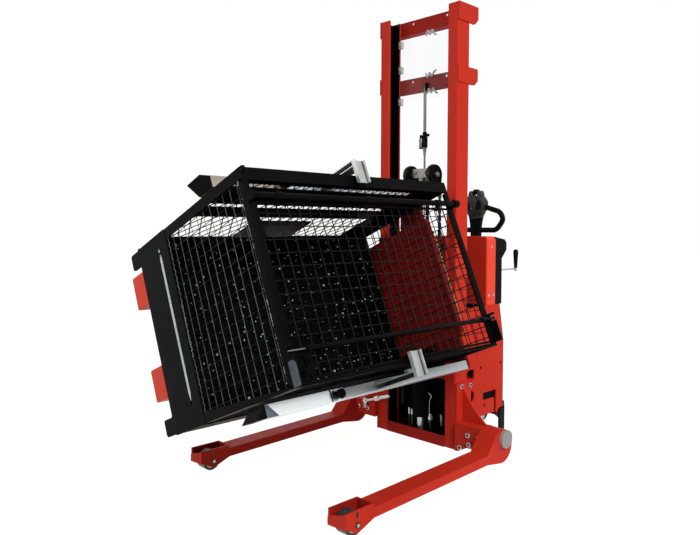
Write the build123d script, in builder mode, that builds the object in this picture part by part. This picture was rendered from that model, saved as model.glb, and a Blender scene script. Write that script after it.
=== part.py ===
from build123d import *
import os
from math import cos, radians, sin

os.makedirs("parts", exist_ok=True)

# Box tipping stacker, in millimetres. X runs across the machine with the operator's left at +X,
# Y runs from the load at the front to the operator at the rear, and Z is up. The origin is on the
# floor, below the middle of the mast's front face.

# Mast
mast_height = 1980
mast_width = 458
mast_foot = 40
upright_width = 57
upright_depth = 83
upright_web = 8
upright_flange = 12
upright_corner = 7
beam_plate = 8
top_beam_height = 77
second_beam_height = 72
second_beam_top = 1710
beam_ear_reach = 57
beam_ear_bevel = 22
beam_ear_plate = 4
beam_hole = 13
beam_hole_spread = 200
beam_hole_drop = 15
base_beam_height = 50
base_beam_wall = 8

screen_plate = 3
screen_bottom = 1600
screen_lap = 12
screen_side_gap = 4
screen_notch_gap = 3

# Legs and load rollers
leg_spread = 852
leg_width = 84
leg_reach = 877
leg_tip_top = 92
leg_nose_top = 72
leg_front_top = 79
leg_front_bottom = 43
leg_rear_top = 93
leg_rear_bottom = 56
leg_neck_reach = 85
leg_tip_length = 132
leg_wall = 8
load_wheel_radius = 41
load_wheel_width = 58
load_axle_setback = 56
load_axle_radius = 10
boss_radius = 70
boss_setback = 12
boss_height = 110
hub_setback = 27
hub_height = 138
hub_cap_radius = 38
hub_cap_depth = 14
bracket_plate = 12
bracket_height = 330
bracket_depth = 122
bracket_box_depth = 84
bracket_box_bottom = 55
bracket_box_top = 166
gusset_plate = 10
gusset_height = 150
gusset_reach = 128
gusset_setback = 41
gusset_hollow = 11

# Chassis behind the mast
panel_plate = 10
panel_bottom = 145
panel_front_bottom = 150
panel_front_top = 412
panel_step = 165
panel_top = 655
panel_shoulder = 470
body_rear = 372
body_rear_top = 335
panel_corner = 12
slot_length = 56
slot_height = 52
slot_setback = 116
slot_upper = 350
slot_lower = 253
window_front = 212
window_rear = 318
window_top = 254
window_bottom = 220
window_slit = 17
deck_height = 330
deck_plate_thickness = 12
deck_wall = 6
deck_wall_bottom = 60
deck_wall_gap = 8
tail_clearance = 25
tail_half_width = 66
tail_corner = 165
tail_corner_setback = 60
skirt_wall = 6
skirt_bottom = 58
skirt_top = 160
skirt_lap = 37
cover_front = 236
cover_rear = 300
cover_top = 972
cover_wall = 4
cover_round = 14
rear_panel_reach = 394
rear_panel_waist = 358
rear_panel_bevel_low = 868
rear_panel_bevel_high = 905
rear_panel_inset = 2
battery_width = 380
battery_depth = 112
battery_height = 230
battery_setback = 215
pump_width = 290
pump_depth = 105
pump_tank_height = 120
pump_setback = 95
pump_motor_radius = 45
pump_motor_length = 190

# Lift cylinder, crosshead and chains
foot_radius = 17
foot_top = 140
barrel_radius = 38
barrel_bore = 27
barrel_top = 1030
gland_depth = 28
rod_radius = 22
rod_clearance = 0.06
rod_bottom = 290
crosshead_width = 100
crosshead_depth = 36
crosshead_height = 66
sheave_axle_height = 1250
sheave_axle_radius = 12
sheave_spread = 136
sheave_radius = 45
sheave_groove = 37.7
sheave_width = 26
sheave_flange = 4.2
sheave_sides = 24
running_fit = 0.06
chain_width = 16
chain_thickness = 10
chain_gap = 0.5
chain_front_end = 560
chain_rear_end = 700
sensor_rod_radius = 7
sensor_offset = -15
sensor_setback = 74
sensor_rod_bottom = 1285
sensor_width = 24
sensor_top = 1443
sensor_height = 82
sensor_clamp_height = 40

# Carriage and tipping head
axis_height = 716
carriage_height = 490
carriage_width = 400
carriage_plate = 20
carriage_clearance = 16
cheek_plate = 12
cheek_spread = 304
cheek_depth = 62
roller_spread_height = 400
roller_width = 36
roller_gap = 0.4
roller_side_gap = 7
roller_axle_radius = 12
anchor_lug = 8
anchor_height = 60
anchor_drop = 150
slew_outer_radius = 170
slew_corner = 90
slew_split_radius = 131
slew_gap = 0.5
slew_depth = 36
slew_step = 4
gearbox_height = 62
gearbox_length = 330
gearbox_offset = -40
tip_motor_radius = 27
tip_motor_length = 125
tip_motor_lift = 7

# Rotator plate, forks, sleeves and hooks, in the cage's own tipped frame
tip_angle = 67.2
rotator_plate_thickness = 16
rotator_half_width = 262
rotator_below_axis = 250
rotator_above_axis = 252
rotator_corner = 18
fork_inner_face = 367
fork_thickness = 36
fork_width = 80
fork_wall = 5
fork_level = 191
lug_below = 60
sleeve_wall = 2.6
sleeve_gap = 0.4
sleeve_rear = 790
sleeve_front = 1105
tip_slant = 40
tip_length = 8
fork_end_gap = 33
knob_setback = 817
knob_radius = 20
knob_lobes = 5
knob_thickness = 16
knob_stem_radius = 9
knob_stem_length = 10
knob_gap = 0.3
hook_setback = 611
hook_width = 55
hook_web = 5
hook_flange = 26
hook_end = 314
hook_strut_width = 24
hook_clearance = 9

# Cage, in the same tipped frame: across, along the machine and up its own height
cage_rear = 100
cage_length = 1022
cage_width = 706
cage_floor = -103
cage_wall_height = 511
base_depth = 217
base_plate = 8
base_plate_width = 712
base_plate_drop = 3
base_tab_width = 62
base_tab_inset = 4
base_tab_height = 63
base_plate_corner = 6
base_slot_length = 557
base_slot_width = 12
base_slot_drop = 62
bearer_width = 100
bearer_spread = 366
bearer_wall = 4
rail_plate = 5
foot_width = 160
foot_length = 158
foot_height = 72
foot_bevel = 10
foot_wall = 8
floor_plate = 5
mat_plate = 4
mat_margin = 8
stud_radius = 10
stud_sides = 6
stud_height = 9
stud_taper = 20
stud_columns = 7
stud_rows = 4
stud_pitch = 138
post_width = 45
post_wall = 5
rim_plate = 6
wire = 4
end_gap = 1
end_columns = 7
end_rows = 5
side_sheet = 3
diamond_columns = 6
diamond_rows = 3
diamond_length = 122
diamond_height = 112
side_margin = 40
stay_width = 40
stay_plate = 6
stay_low = 60
stay_high = 320
ledge_reach = 28
ledge_plate = 8
ledge_gap = 2

# Gate
hinge_tube_radius = 11
hinge_tube_across = 248
hinge_tube_lift = 18
hinge_tube_knob = 16
hinge_tube_over = 16
hinge_lug_width = 36
hinge_lug_plate = 10
gate_gap = 4
gate_bar = 20
gate_top_edge = 236
gate_columns = 9
gate_rows = 5
knuckle_wall = 6
knuckle_sides = 8
knuckle_length = 30
knuckle_pitch = 400
lock_bar_radius = 10
lock_bar_across = -245
lock_bar_over = 10
lock_lug = 16
keeper_width = 115
keeper_plate = 8
keeper_height = 35
keeper_gap = 1
latch_length = 96
latch_width = 46
latch_plate = 6
latch_inset = 22
latch_pin_radius = 6
latch_lift = 4

# Drive, castors, tiller and lever
steer_setback = 410
drive_wheel_radius = 110
drive_wheel_width = 60
drive_axle_radius = 12
drive_cheek = 12
drive_cheek_gap = 5
drive_cheek_width = 80
drive_crown = 250
drive_crown_plate = 14
drive_gear_radius = 55
drive_gear_width = 40
drive_motor_radius = 50
drive_motor_length = 60
column_radius = 40
column_gap = 1
swivel_gap = 0.5
column_top = 352
tiller_setback = 462
tiller_pivot = 400
tiller_pin_radius = 10
clevis_plate = 12
clevis_gap = 1
clevis_radius = 24
clevis_sides = 8
tiller_width = 40
tiller_top_width = 52
tiller_depth = 36
tiller_foot_radius = 22
tiller_head_bottom = 1085
tiller_head_width = 118
tiller_head_height = 100
tiller_head_depth = 62
tiller_head_round = 18
loop_half_width = 163
loop_middle = 1052
loop_shoulder = 1090
loop_shoulder_half_width = 142
loop_bottom_half_width = 122
loop_bottom = 1000
loop_top = 1119
loop_tube_radius = 15
loop_tube_sides = 6
loop_bend = 24
thumb_radius = 17
thumb_sides = 12
thumb_width = 30
thumb_gap = 0.5
thumb_lift = 6
castor_spread = 330
castor_setback = 262
castor_wheel_radius = 62.5
castor_wheel_width = 40
castor_trail = 32
castor_axle_radius = 8
castor_cheek = 6
castor_cheek_gap = 4
castor_crown = 143
castor_crown_plate = 10
castor_crown_radius = 36
castor_post_width = 80
lever_offset = 195
lever_height = 811
lever_reach = 165
lever_rod_radius = 5
lever_boss_radius = 12
lever_boss_sides = 6
lever_rod_sides = 6
lever_boss_depth = 12
lever_gap = 0.3
lever_grip_radius = 13
lever_grip_sides = 8
lever_grip_taper = -2
lever_grip_length = 100
lever_grip_drop = 12

# Worked-out places
half_mast = mast_width / 2
gap_half = half_mast - upright_width
mast_mid = upright_depth / 2
leg_inner = (leg_spread - leg_width) / 2
leg_outer = (leg_spread + leg_width) / 2
load_axle_reach = leg_reach - load_axle_setback
panel_inner = half_mast - panel_plate
deck_bottom = deck_height - deck_plate_thickness
tail_reach = steer_setback + drive_wheel_radius + tail_clearance
carriage_back = -carriage_clearance
carriage_front = carriage_back - carriage_plate
slew_front = carriage_front - slew_depth
rotator_back = slew_front - slew_step
rotator_front = rotator_back - rotator_plate_thickness
lean = radians(90 - tip_angle)
across_dir = (-sin(lean), 0, cos(lean))
rise_dir = (cos(lean), 0, sin(lean))
cage_front = -cage_rear - cage_length
cage_back = -cage_rear
half_cage = cage_width / 2
cage_top = cage_floor + cage_wall_height
rim_bottom = cage_top - rim_plate
base_bottom = cage_floor - base_depth
hinge_level = cage_top + hinge_tube_lift
fork_mid = fork_inner_face + fork_thickness / 2
sleeve_thickness = fork_thickness + 2 * (sleeve_gap + sleeve_wall)
sleeve_width = fork_width + 2 * (sleeve_gap + sleeve_wall)
sleeve_face = fork_level + sleeve_width / 2
fork_length = sleeve_front - fork_end_gap + rotator_front


def across(y):
    """Plane across the cage at a place along the machine; sketch in (across, up the cage)."""
    return Plane(origin=(0, y, axis_height), x_dir=across_dir, z_dir=(0, 1, 0))


def level(rise):
    """Plane at a height in the cage; sketch in (along the machine, across)."""
    foot = (rise * rise_dir[0], 0, axis_height + rise * rise_dir[2])
    return Plane(origin=foot, x_dir=(0, 1, 0), z_dir=rise_dir)


def beside(offset):
    """Plane along one side of the cage; sketch in (along the machine, up the cage)."""
    foot = (offset * across_dir[0], 0, axis_height + offset * across_dir[2])
    return Plane(origin=foot, x_dir=(0, 1, 0), z_dir=(-across_dir[0], 0, -across_dir[2]))


def bars(plane, middle, bar, length, pitch, count, upright):
    """A row of parallel bars, standing along the sketch's Y or lying along its X."""
    with BuildSketch(plane) as row:
        with Locations(middle):
            if upright:
                with GridLocations(pitch, 1, count, 1):
                    Rectangle(bar, length)
            else:
                with GridLocations(1, pitch, 1, count):
                    Rectangle(length, bar)
    return row.sketch


def cut_corners(width, height, cut):
    """Corner points of a rectangle about the origin with its four corners cut off."""
    half_width, half_height = width / 2, height / 2
    quarter = [(half_width, half_height - cut), (half_width - cut, half_height)]
    upper = quarter + [(-x, y) for x, y in reversed(quarter)]
    return upper + [(-x, -y) for x, y in upper]


def wheel(x, y, height, radius, width, bore):
    """A plain wheel or roller on an axle across the machine."""
    with BuildPart() as disc:
        with BuildSketch(Plane.YZ.offset(x - width / 2)):
            with Locations((y, height)):
                Circle(radius)
                Circle(bore + running_fit, mode=Mode.SUBTRACT)
        extrude(amount=width)
    return disc


def save(piece, name):
    piece.part.label = name
    export_step(piece.part, f"parts/{name}.step")


# Mast uprights: C sections whose open sides face each other
with BuildPart() as mast_uprights:
    for side in (1, -1):
        with BuildSketch(Plane.XY.offset(mast_foot)) as section:
            with Locations((side * (half_mast - upright_width / 2), mast_mid)):
                Rectangle(upright_width, upright_depth)
            fillet(section.vertices(), upright_corner)
            with Locations((side * (half_mast - upright_web - upright_width / 2), mast_mid)):
                Rectangle(upright_width, upright_depth - 2 * upright_flange, mode=Mode.SUBTRACT)
        extrude(amount=mast_height - mast_foot)
save(mast_uprights, "mast_uprights")

# Two bent-plate beams tie the uprights together behind, with ears along both sides
ear_end = upright_depth + beam_ear_reach
with BuildPart() as mast_beams:
    for beam_top, beam_height in (
        (mast_height, top_beam_height),
        (second_beam_top, second_beam_height),
    ):
        with BuildSketch(Plane.XY.offset(beam_top - beam_height)):
            with Locations((0, upright_depth + beam_plate / 2)):
                Rectangle(mast_width, beam_plate)
            for side in (1, -1):
                with Locations((side * (half_mast - beam_plate / 2), upright_depth + beam_ear_reach / 2)):
                    Rectangle(beam_plate, beam_ear_reach)
                with Locations((side * (half_mast + beam_ear_plate / 2), ear_end / 2)):
                    Rectangle(beam_ear_plate, ear_end)
        extrude(amount=beam_height)
        lower_edges = mast_beams.edges().filter_by(Axis.X).group_by(Axis.Y)[-1].group_by(Axis.Z)
        chamfer(lower_edges[0], beam_ear_bevel)
        hole_level = beam_top - beam_hole_drop
        with Locations(Plane((0, upright_depth, hole_level), x_dir=(1, 0, 0), z_dir=(0, -1, 0))):
            with GridLocations(beam_hole_spread, 1, 2, 1):
                Hole(beam_hole / 2, depth=beam_plate)
save(mast_beams, "mast_beams")

# Clear guard screen against the front of both beams, notched round the sensor's clamp
screen_top = mast_height - top_beam_height + screen_lap
with BuildPart() as guard_screen:
    with BuildSketch(Plane.XZ.offset(-upright_depth)):
        with Locations((0, (screen_bottom + screen_top) / 2)):
            Rectangle(2 * (gap_half - screen_side_gap), screen_top - screen_bottom)
        notch_top = second_beam_top - second_beam_height + sensor_clamp_height + screen_notch_gap
        with Locations((sensor_offset, screen_bottom)):
            Rectangle(
                sensor_width + 2 * screen_notch_gap,
                2 * (notch_top - screen_bottom),
                mode=Mode.SUBTRACT,
            )
    extrude(amount=screen_plate)
save(guard_screen, "guard_screen")

# Base beam: a channel between the feet of the uprights that carries the lift cylinder
with BuildPart() as base_beam:
    with BuildSketch(Plane.YZ.offset(-gap_half)):
        with Locations((mast_mid, mast_foot + base_beam_height / 2)):
            Rectangle(upright_depth, base_beam_height)
        with Locations((mast_mid, mast_foot + base_beam_height / 2 + base_beam_wall)):
            Rectangle(upright_depth - 2 * base_beam_wall, base_beam_height, mode=Mode.SUBTRACT)
    extrude(amount=2 * gap_half)
save(base_beam, "base_beam")

# Leg brackets: a side plate on the upright, a box out to the leg and a gusset above it
with BuildPart() as leg_brackets:
    for side in (1, -1):
        outward = side * bracket_plate
        with BuildSketch(Plane.YZ.offset(side * half_mast)):
            with Locations((bracket_depth / 2, (mast_foot + bracket_height) / 2)):
                Rectangle(bracket_depth, bracket_height - mast_foot)
        extrude(amount=outward)
        with BuildSketch(Plane.YZ.offset(side * half_mast + outward)):
            with Locations((hub_setback, (bracket_box_bottom + bracket_box_top) / 2)):
                Rectangle(bracket_box_depth, bracket_box_top - bracket_box_bottom)
        extrude(amount=side * (leg_inner - half_mast - bracket_plate))
        with BuildSketch(Plane.XZ.offset(-gusset_setback)):
            with BuildLine():
                corner = (side * (half_mast + bracket_plate), bracket_box_top)
                low = (corner[0] + side * gusset_reach, corner[1])
                high = (corner[0], corner[1] + gusset_height)
                hollow = (
                    (low[0] + high[0]) / 2 - side * gusset_hollow,
                    (low[1] + high[1]) / 2 - gusset_hollow,
                )
                Polyline(low, corner, high)
                ThreePointArc(high, hollow, low)
            make_face()
        extrude(amount=-gusset_plate)
save(leg_brackets, "leg_brackets")


def leg(side):
    """One support leg: a tapering slab from the round boss to the open roller pocket at the tip."""
    tip_rear = leg_tip_length - leg_reach
    with BuildPart() as arm:
        with BuildSketch(Plane.YZ.offset(side * leg_inner)):
            with BuildLine():
                Polyline(
                    (tip_rear - leg_wall, leg_front_bottom),
                    (tip_rear - leg_wall, leg_front_top),
                    (-leg_neck_reach, leg_rear_top),
                    (-leg_neck_reach, leg_rear_bottom),
                    close=True,
                )
            make_face()
        extrude(amount=side * leg_width)
        with BuildSketch(Plane.YZ.offset(side * leg_inner)):
            with Locations((boss_setback, boss_height)):
                Circle(boss_radius)
            with Locations((-leg_neck_reach, (leg_rear_top + leg_rear_bottom) / 2)):
                Rectangle(2 * leg_wall, leg_rear_top - leg_rear_bottom)
            make_hull()
        extrude(amount=side * leg_width)
        with BuildSketch(Plane.YZ.offset(side * leg_inner)):
            with Locations((leg_tip_length / 2 - leg_reach, (leg_front_bottom + leg_tip_top) / 2)):
                Rectangle(leg_tip_length, leg_tip_top - leg_front_bottom)
            with Locations((-load_axle_reach, load_wheel_radius)):
                Circle(load_wheel_radius - 2 * leg_wall)
            make_hull()
        extrude(amount=side * leg_width)
        with BuildSketch(Plane.XY):
            with Locations((side * leg_spread / 2, leg_tip_length / 2 - leg_reach)):
                Rectangle(leg_width - 2 * leg_wall, leg_tip_length - 2 * leg_wall)
        extrude(amount=2 * leg_tip_top, mode=Mode.SUBTRACT)
        with BuildSketch(Plane.XY.offset(leg_nose_top)):
            with Locations((side * leg_spread / 2, -leg_reach)):
                Rectangle(leg_width - 2 * leg_wall, leg_tip_length)
        extrude(amount=leg_tip_top, mode=Mode.SUBTRACT)
        with BuildSketch(Plane.YZ.offset(side * leg_inner)):
            with Locations((-load_axle_reach, load_wheel_radius)):
                Circle(load_axle_radius)
        extrude(amount=side * leg_width)
    return arm


leg_left = leg(1)
save(leg_left, "leg_left")
leg_right = leg(-1)
save(leg_right, "leg_right")

# Round end caps on the leg hubs
with BuildPart() as hub_caps:
    for side in (1, -1):
        with BuildSketch(Plane.YZ.offset(side * leg_outer)):
            with Locations((hub_setback, hub_height)):
                Circle(hub_cap_radius)
        extrude(amount=side * hub_cap_depth)
save(hub_caps, "hub_caps")

# Load rollers on the axles in the leg tips
for side, side_name in ((1, "left"), (-1, "right")):
    load_wheel = wheel(
        side * leg_spread / 2,
        -load_axle_reach,
        load_wheel_radius,
        load_wheel_radius,
        load_wheel_width,
        load_axle_radius,
    )
    save(load_wheel, f"load_wheel_{side_name}")

# Chassis side panels, with two slots behind the mast and a bent service window open below
with BuildPart() as side_panels:
    for side in (1, -1):
        with BuildSketch(Plane.YZ.offset(side * panel_inner)) as outline:
            with BuildLine():
                Polyline(
                    (upright_depth, panel_front_bottom),
                    (upright_depth, panel_front_top),
                    (panel_step, panel_front_top),
                    (panel_step, panel_top),
                    (body_rear_top, panel_top),
                    (body_rear, panel_shoulder),
                    (body_rear, panel_bottom),
                    (window_rear, panel_bottom),
                    (window_rear, window_top),
                    (window_front, window_top),
                    (window_front, window_bottom),
                    (window_rear - window_slit, window_bottom),
                    (window_rear - window_slit, panel_front_bottom),
                    close=True,
                )
            make_face()
            for slot_middle in (slot_upper, slot_lower):
                with Locations((slot_setback, slot_middle)):
                    corners = cut_corners(slot_length, slot_height, panel_corner)
                    Polygon(*corners, align=None, mode=Mode.SUBTRACT)
        extrude(amount=side * panel_plate)
save(side_panels, "side_panels")


def tail_outline(inset):
    """Half outline of the chassis tail, from the side panel round to the middle of the rear."""
    return [
        (half_mast - inset, body_rear),
        (tail_corner - inset, steer_setback + tail_corner_setback - inset),
        (tail_half_width, tail_reach - inset),
    ]


# Deck plate between the side panels: a front wall, castor posts and the tail that carries the steering
with BuildPart() as deck_plate:
    with BuildSketch(Plane.XY.offset(deck_bottom)):
        with BuildLine():
            half = tail_outline(panel_plate)
            Polyline(
                (panel_inner, upright_depth),
                *half,
                *[(-x, y) for x, y in reversed(half)],
                (-panel_inner, upright_depth),
                close=True,
            )
        make_face()
        with Locations((0, steer_setback)):
            Circle(column_radius + column_gap, mode=Mode.SUBTRACT)
    extrude(amount=deck_plate_thickness)
    with BuildSketch(Plane.XY.offset(deck_wall_bottom)):
        with Locations((0, upright_depth + deck_wall_gap + deck_wall / 2)):
            Rectangle(2 * panel_inner, deck_wall)
    extrude(amount=deck_bottom - deck_wall_bottom)
    with BuildSketch(Plane.XY.offset(castor_crown + castor_crown_plate + swivel_gap)):
        with Locations((0, castor_setback)):
            with GridLocations(castor_spread, 1, 2, 1):
                Rectangle(castor_post_width, castor_post_width)
    extrude(amount=deck_bottom - castor_crown - castor_crown_plate - swivel_gap)
save(deck_plate, "deck_plate")

# Rear skirt: a bent strip round the drive wheel, lapped onto the side panels
with BuildPart() as rear_skirt:
    with BuildSketch(Plane.XY.offset(skirt_bottom)):
        with BuildLine():
            outer = [(half_mast + skirt_wall, body_rear - skirt_lap)] + tail_outline(-skirt_wall)
            inner = [(half_mast, body_rear - skirt_lap)] + tail_outline(0)
            Polyline(
                *outer,
                *[(-x, y) for x, y in reversed(outer)],
                *[(-x, y) for x, y in inner],
                *reversed(inner),
                close=True,
            )
        make_face()
    extrude(amount=skirt_top - skirt_bottom)
save(rear_skirt, "rear_skirt")

# Red body cover: a shell that is open below and behind
with BuildPart() as body_cover:
    with BuildSketch(Plane.XY.offset(panel_top)):
        with Locations((0, (cover_front + cover_rear) / 2)):
            Rectangle(mast_width, cover_rear - cover_front)
    extrude(amount=cover_top - panel_top)
    chamfer(body_cover.edges().filter_by(Axis.Z).group_by(Axis.Y)[0], cover_round / 2)
    chamfer(body_cover.edges().group_by(Axis.Z)[-1].filter_by(Axis.Y), cover_round)
    open_faces = [
        body_cover.faces().sort_by(Axis.Z)[0],
        body_cover.faces().filter_by(Axis.Y).sort_by(Axis.Y)[-1],
    ]
    offset(amount=-cover_wall, openings=open_faces)
save(body_cover, "body_cover")

# Black rear panel with its deeper top, closed by the body cover in front
with BuildPart() as rear_panel:
    with BuildSketch(Plane.YZ.offset(rear_panel_inset - half_mast)):
        with BuildLine():
            Polyline(
                (cover_rear, panel_top),
                (cover_rear, cover_top - rear_panel_inset),
                (rear_panel_reach - cover_round, cover_top - cover_round),
                (rear_panel_reach, cover_top - 2 * cover_round),
                (rear_panel_reach, rear_panel_bevel_high),
                (rear_panel_waist, rear_panel_bevel_low),
                (rear_panel_waist, panel_top),
                close=True,
            )
        make_face()
    extrude(amount=mast_width - 2 * rear_panel_inset)
    offset(amount=-cover_wall, openings=rear_panel.faces().filter_by(Axis.Y).sort_by(Axis.Y)[0])
save(rear_panel, "rear_panel")

# Lower rear cover: a flat sheet between the side panels, standing on the deck
with BuildPart() as lower_rear_cover:
    with BuildSketch(Plane.XY.offset(deck_height)):
        with Locations((0, body_rear_top - cover_wall / 2)):
            Rectangle(2 * panel_inner, cover_wall)
    extrude(amount=panel_top - deck_height)
save(lower_rear_cover, "lower_rear_cover")

# Battery and hydraulic unit on the deck
with BuildPart() as battery:
    with BuildSketch(Plane.XY.offset(deck_height)):
        with Locations((0, battery_setback + battery_depth / 2)):
            Rectangle(battery_width, battery_depth)
    extrude(amount=battery_height)
save(battery, "battery")

with BuildPart() as hydraulic_unit:
    with BuildSketch(Plane.XY.offset(deck_height)):
        with Locations((0, pump_setback + pump_depth / 2)):
            Rectangle(pump_width, pump_depth)
    extrude(amount=pump_tank_height)
    with BuildSketch(Plane.XY.offset(deck_height + pump_tank_height)):
        with Locations((0, pump_setback + pump_depth / 2)):
            Circle(pump_motor_radius)
    extrude(amount=pump_motor_length)
save(hydraulic_unit, "hydraulic_unit")

# Lift cylinder standing on its bright foot
with BuildPart() as cylinder_foot:
    with BuildSketch(Plane.XY.offset(mast_foot + base_beam_wall)):
        with Locations((0, mast_mid)):
            Circle(foot_radius)
    extrude(amount=foot_top - mast_foot - base_beam_wall)
save(cylinder_foot, "cylinder_foot")

with BuildPart() as lift_cylinder:
    with BuildSketch(Plane.XY.offset(foot_top)):
        with Locations((0, mast_mid)):
            Circle(barrel_radius)
    extrude(amount=barrel_top - foot_top)
    with BuildSketch(Plane.XY.offset(foot_top + gland_depth)):
        with Locations((0, mast_mid)):
            Circle(barrel_bore)
    extrude(amount=barrel_top - foot_top - 2 * gland_depth, mode=Mode.SUBTRACT)
    with BuildSketch(Plane.XY.offset(foot_top + gland_depth)):
        with Locations((0, mast_mid)):
            Circle(rod_radius + rod_clearance)
    extrude(amount=barrel_top - foot_top, mode=Mode.SUBTRACT)
save(lift_cylinder, "lift_cylinder")

crosshead_bottom = sheave_axle_height - crosshead_height / 2
with BuildPart() as piston_rod:
    with BuildSketch(Plane.XY.offset(rod_bottom)):
        with Locations((0, mast_mid)):
            Circle(rod_radius)
    extrude(amount=crosshead_bottom - rod_bottom)
save(piston_rod, "piston_rod")

# Crosshead block with the sheave axle through it
with BuildPart() as crosshead:
    with BuildSketch(Plane.XY.offset(crosshead_bottom)):
        with Locations((0, mast_mid)):
            Rectangle(crosshead_width, crosshead_depth)
    extrude(amount=crosshead_height)
    axle_half = sheave_spread / 2 + sheave_width
    with BuildSketch(Plane.YZ.offset(-axle_half)):
        with Locations((mast_mid, sheave_axle_height)):
            Circle(sheave_axle_radius)
    extrude(amount=2 * axle_half)
save(crosshead, "crosshead")

# Two chain sheaves on the axle, each a grooved drum between two flanges
with BuildPart() as sheaves:
    for side in (1, -1):
        sheave_side = side * sheave_spread / 2 - sheave_width / 2
        for start, depth, radius in (
            (0, sheave_flange, sheave_radius),
            (sheave_flange, sheave_width - 2 * sheave_flange, sheave_groove),
            (sheave_width - sheave_flange, sheave_flange, sheave_radius),
        ):
            with BuildSketch(Plane.YZ.offset(sheave_side + start)):
                with Locations((mast_mid, sheave_axle_height)):
                    RegularPolygon(radius, sheave_sides)
                    Circle(sheave_axle_radius + running_fit, mode=Mode.SUBTRACT)
            extrude(amount=depth)
save(sheaves, "sheaves")

# Two leaf chains over the sheaves: a front run to the carriage and a rear run to the anchor
chain_inner = sheave_groove + chain_gap
chain_outer = chain_inner + chain_thickness
with BuildPart() as lift_chains:
    for side in (1, -1):
        with BuildSketch(Plane.YZ.offset(side * sheave_spread / 2 - chain_width / 2)):
            with Locations((mast_mid, sheave_axle_height)):
                Circle(chain_outer)
                Circle(chain_inner, mode=Mode.SUBTRACT)
            with Locations((mast_mid, sheave_axle_height - chain_outer)):
                Rectangle(2 * chain_outer, 2 * chain_outer, mode=Mode.SUBTRACT)
            for reach, run_end in ((-1, chain_front_end), (1, chain_rear_end)):
                run_middle = mast_mid + reach * (chain_inner + chain_thickness / 2)
                with Locations((run_middle, (sheave_axle_height + run_end) / 2)):
                    Rectangle(chain_thickness, sheave_axle_height - run_end)
        extrude(amount=chain_width)
save(lift_chains, "lift_chains")

# Height sensor hanging on its rod from the second beam
with BuildPart() as height_sensor:
    beam_bottom = second_beam_top - second_beam_height
    rod_top = beam_bottom + sensor_clamp_height
    with BuildSketch(Plane.XY.offset(sensor_rod_bottom)):
        with Locations((sensor_offset, sensor_setback)):
            Circle(sensor_rod_radius)
    extrude(amount=rod_top - sensor_rod_bottom)
    with BuildSketch(Plane.XY.offset(sensor_top - sensor_height)):
        with Locations((sensor_offset, sensor_setback)):
            Rectangle(sensor_width, 2 * (upright_depth - sensor_setback))
    extrude(amount=sensor_height)
    with BuildSketch(Plane.XY.offset(beam_bottom)):
        with Locations((sensor_offset, sensor_setback)):
            Rectangle(sensor_width, 2 * (upright_depth - sensor_setback))
    extrude(amount=sensor_clamp_height)
save(height_sensor, "height_sensor")

# Carriage frame: front plate, two cheeks between the uprights, stub axles and chain anchor lugs
carriage_bottom = axis_height - carriage_height / 2
cheek_outer = cheek_spread / 2
roller_outer = half_mast - upright_web - roller_side_gap
with BuildPart() as carriage_frame:
    with BuildSketch(Plane.XZ.offset(-carriage_back)):
        with Locations((0, axis_height)):
            Rectangle(carriage_width, carriage_height)
    extrude(amount=carriage_plate)
    with BuildSketch(Plane.XY.offset(carriage_bottom)):
        for side in (1, -1):
            cheek_back = mast_mid + cheek_depth / 2
            with Locations((side * (cheek_outer - cheek_plate / 2), (carriage_back + cheek_back) / 2)):
                Rectangle(cheek_plate, cheek_back - carriage_back)
    extrude(amount=carriage_height)
    for side in (1, -1):
        with BuildSketch(Plane.YZ.offset(side * (cheek_outer - cheek_plate))):
            with Locations((mast_mid, axis_height)):
                with GridLocations(1, roller_spread_height, 1, 2):
                    Circle(roller_axle_radius)
        extrude(amount=side * (roller_outer - cheek_outer + cheek_plate))
    with BuildSketch(Plane.XY.offset(axis_height - anchor_drop)):
        for side in (1, -1):
            for beside_chain in (1, -1):
                lug_middle = sheave_spread / 2 + beside_chain * (chain_width / 2 + anchor_lug)
                with Locations((side * lug_middle, carriage_back / 2)):
                    Rectangle(anchor_lug, carriage_clearance)
    extrude(amount=anchor_height)
save(carriage_frame, "carriage_frame")

# Guide rollers in the mast channels, a pair at the top of the carriage and a pair at its foot
for up, up_name in ((1, "upper"), (-1, "lower")):
    with BuildPart() as guide_rollers:
        for side in (1, -1):
            with BuildSketch(Plane.YZ.offset(side * (roller_outer - roller_width))):
                with Locations((mast_mid, axis_height + up * roller_spread_height / 2)):
                    Circle(mast_mid - upright_flange - roller_gap)
                    Circle(roller_axle_radius + running_fit, mode=Mode.SUBTRACT)
            extrude(amount=side * roller_width)
    save(guide_rollers, f"guide_rollers_{up_name}")

# Slewing drive: a housing with cut corners, the ring that turns in it, and the worm gearbox below
with BuildPart() as slew_ring_fixed:
    with BuildSketch(Plane.XZ.offset(-carriage_front)):
        with Locations((0, axis_height)):
            corners = cut_corners(2 * slew_outer_radius, 2 * slew_outer_radius, slew_corner)
            Polygon(*corners, align=None)
            Circle(slew_split_radius, mode=Mode.SUBTRACT)
    extrude(amount=slew_depth)
save(slew_ring_fixed, "slew_ring_fixed")

with BuildPart() as slew_ring_turning:
    with BuildSketch(Plane.XZ.offset(-rotator_back)):
        with Locations((0, axis_height)):
            Circle(slew_split_radius - slew_gap)
    extrude(amount=-slew_depth)
save(slew_ring_turning, "slew_ring_turning")

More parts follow.
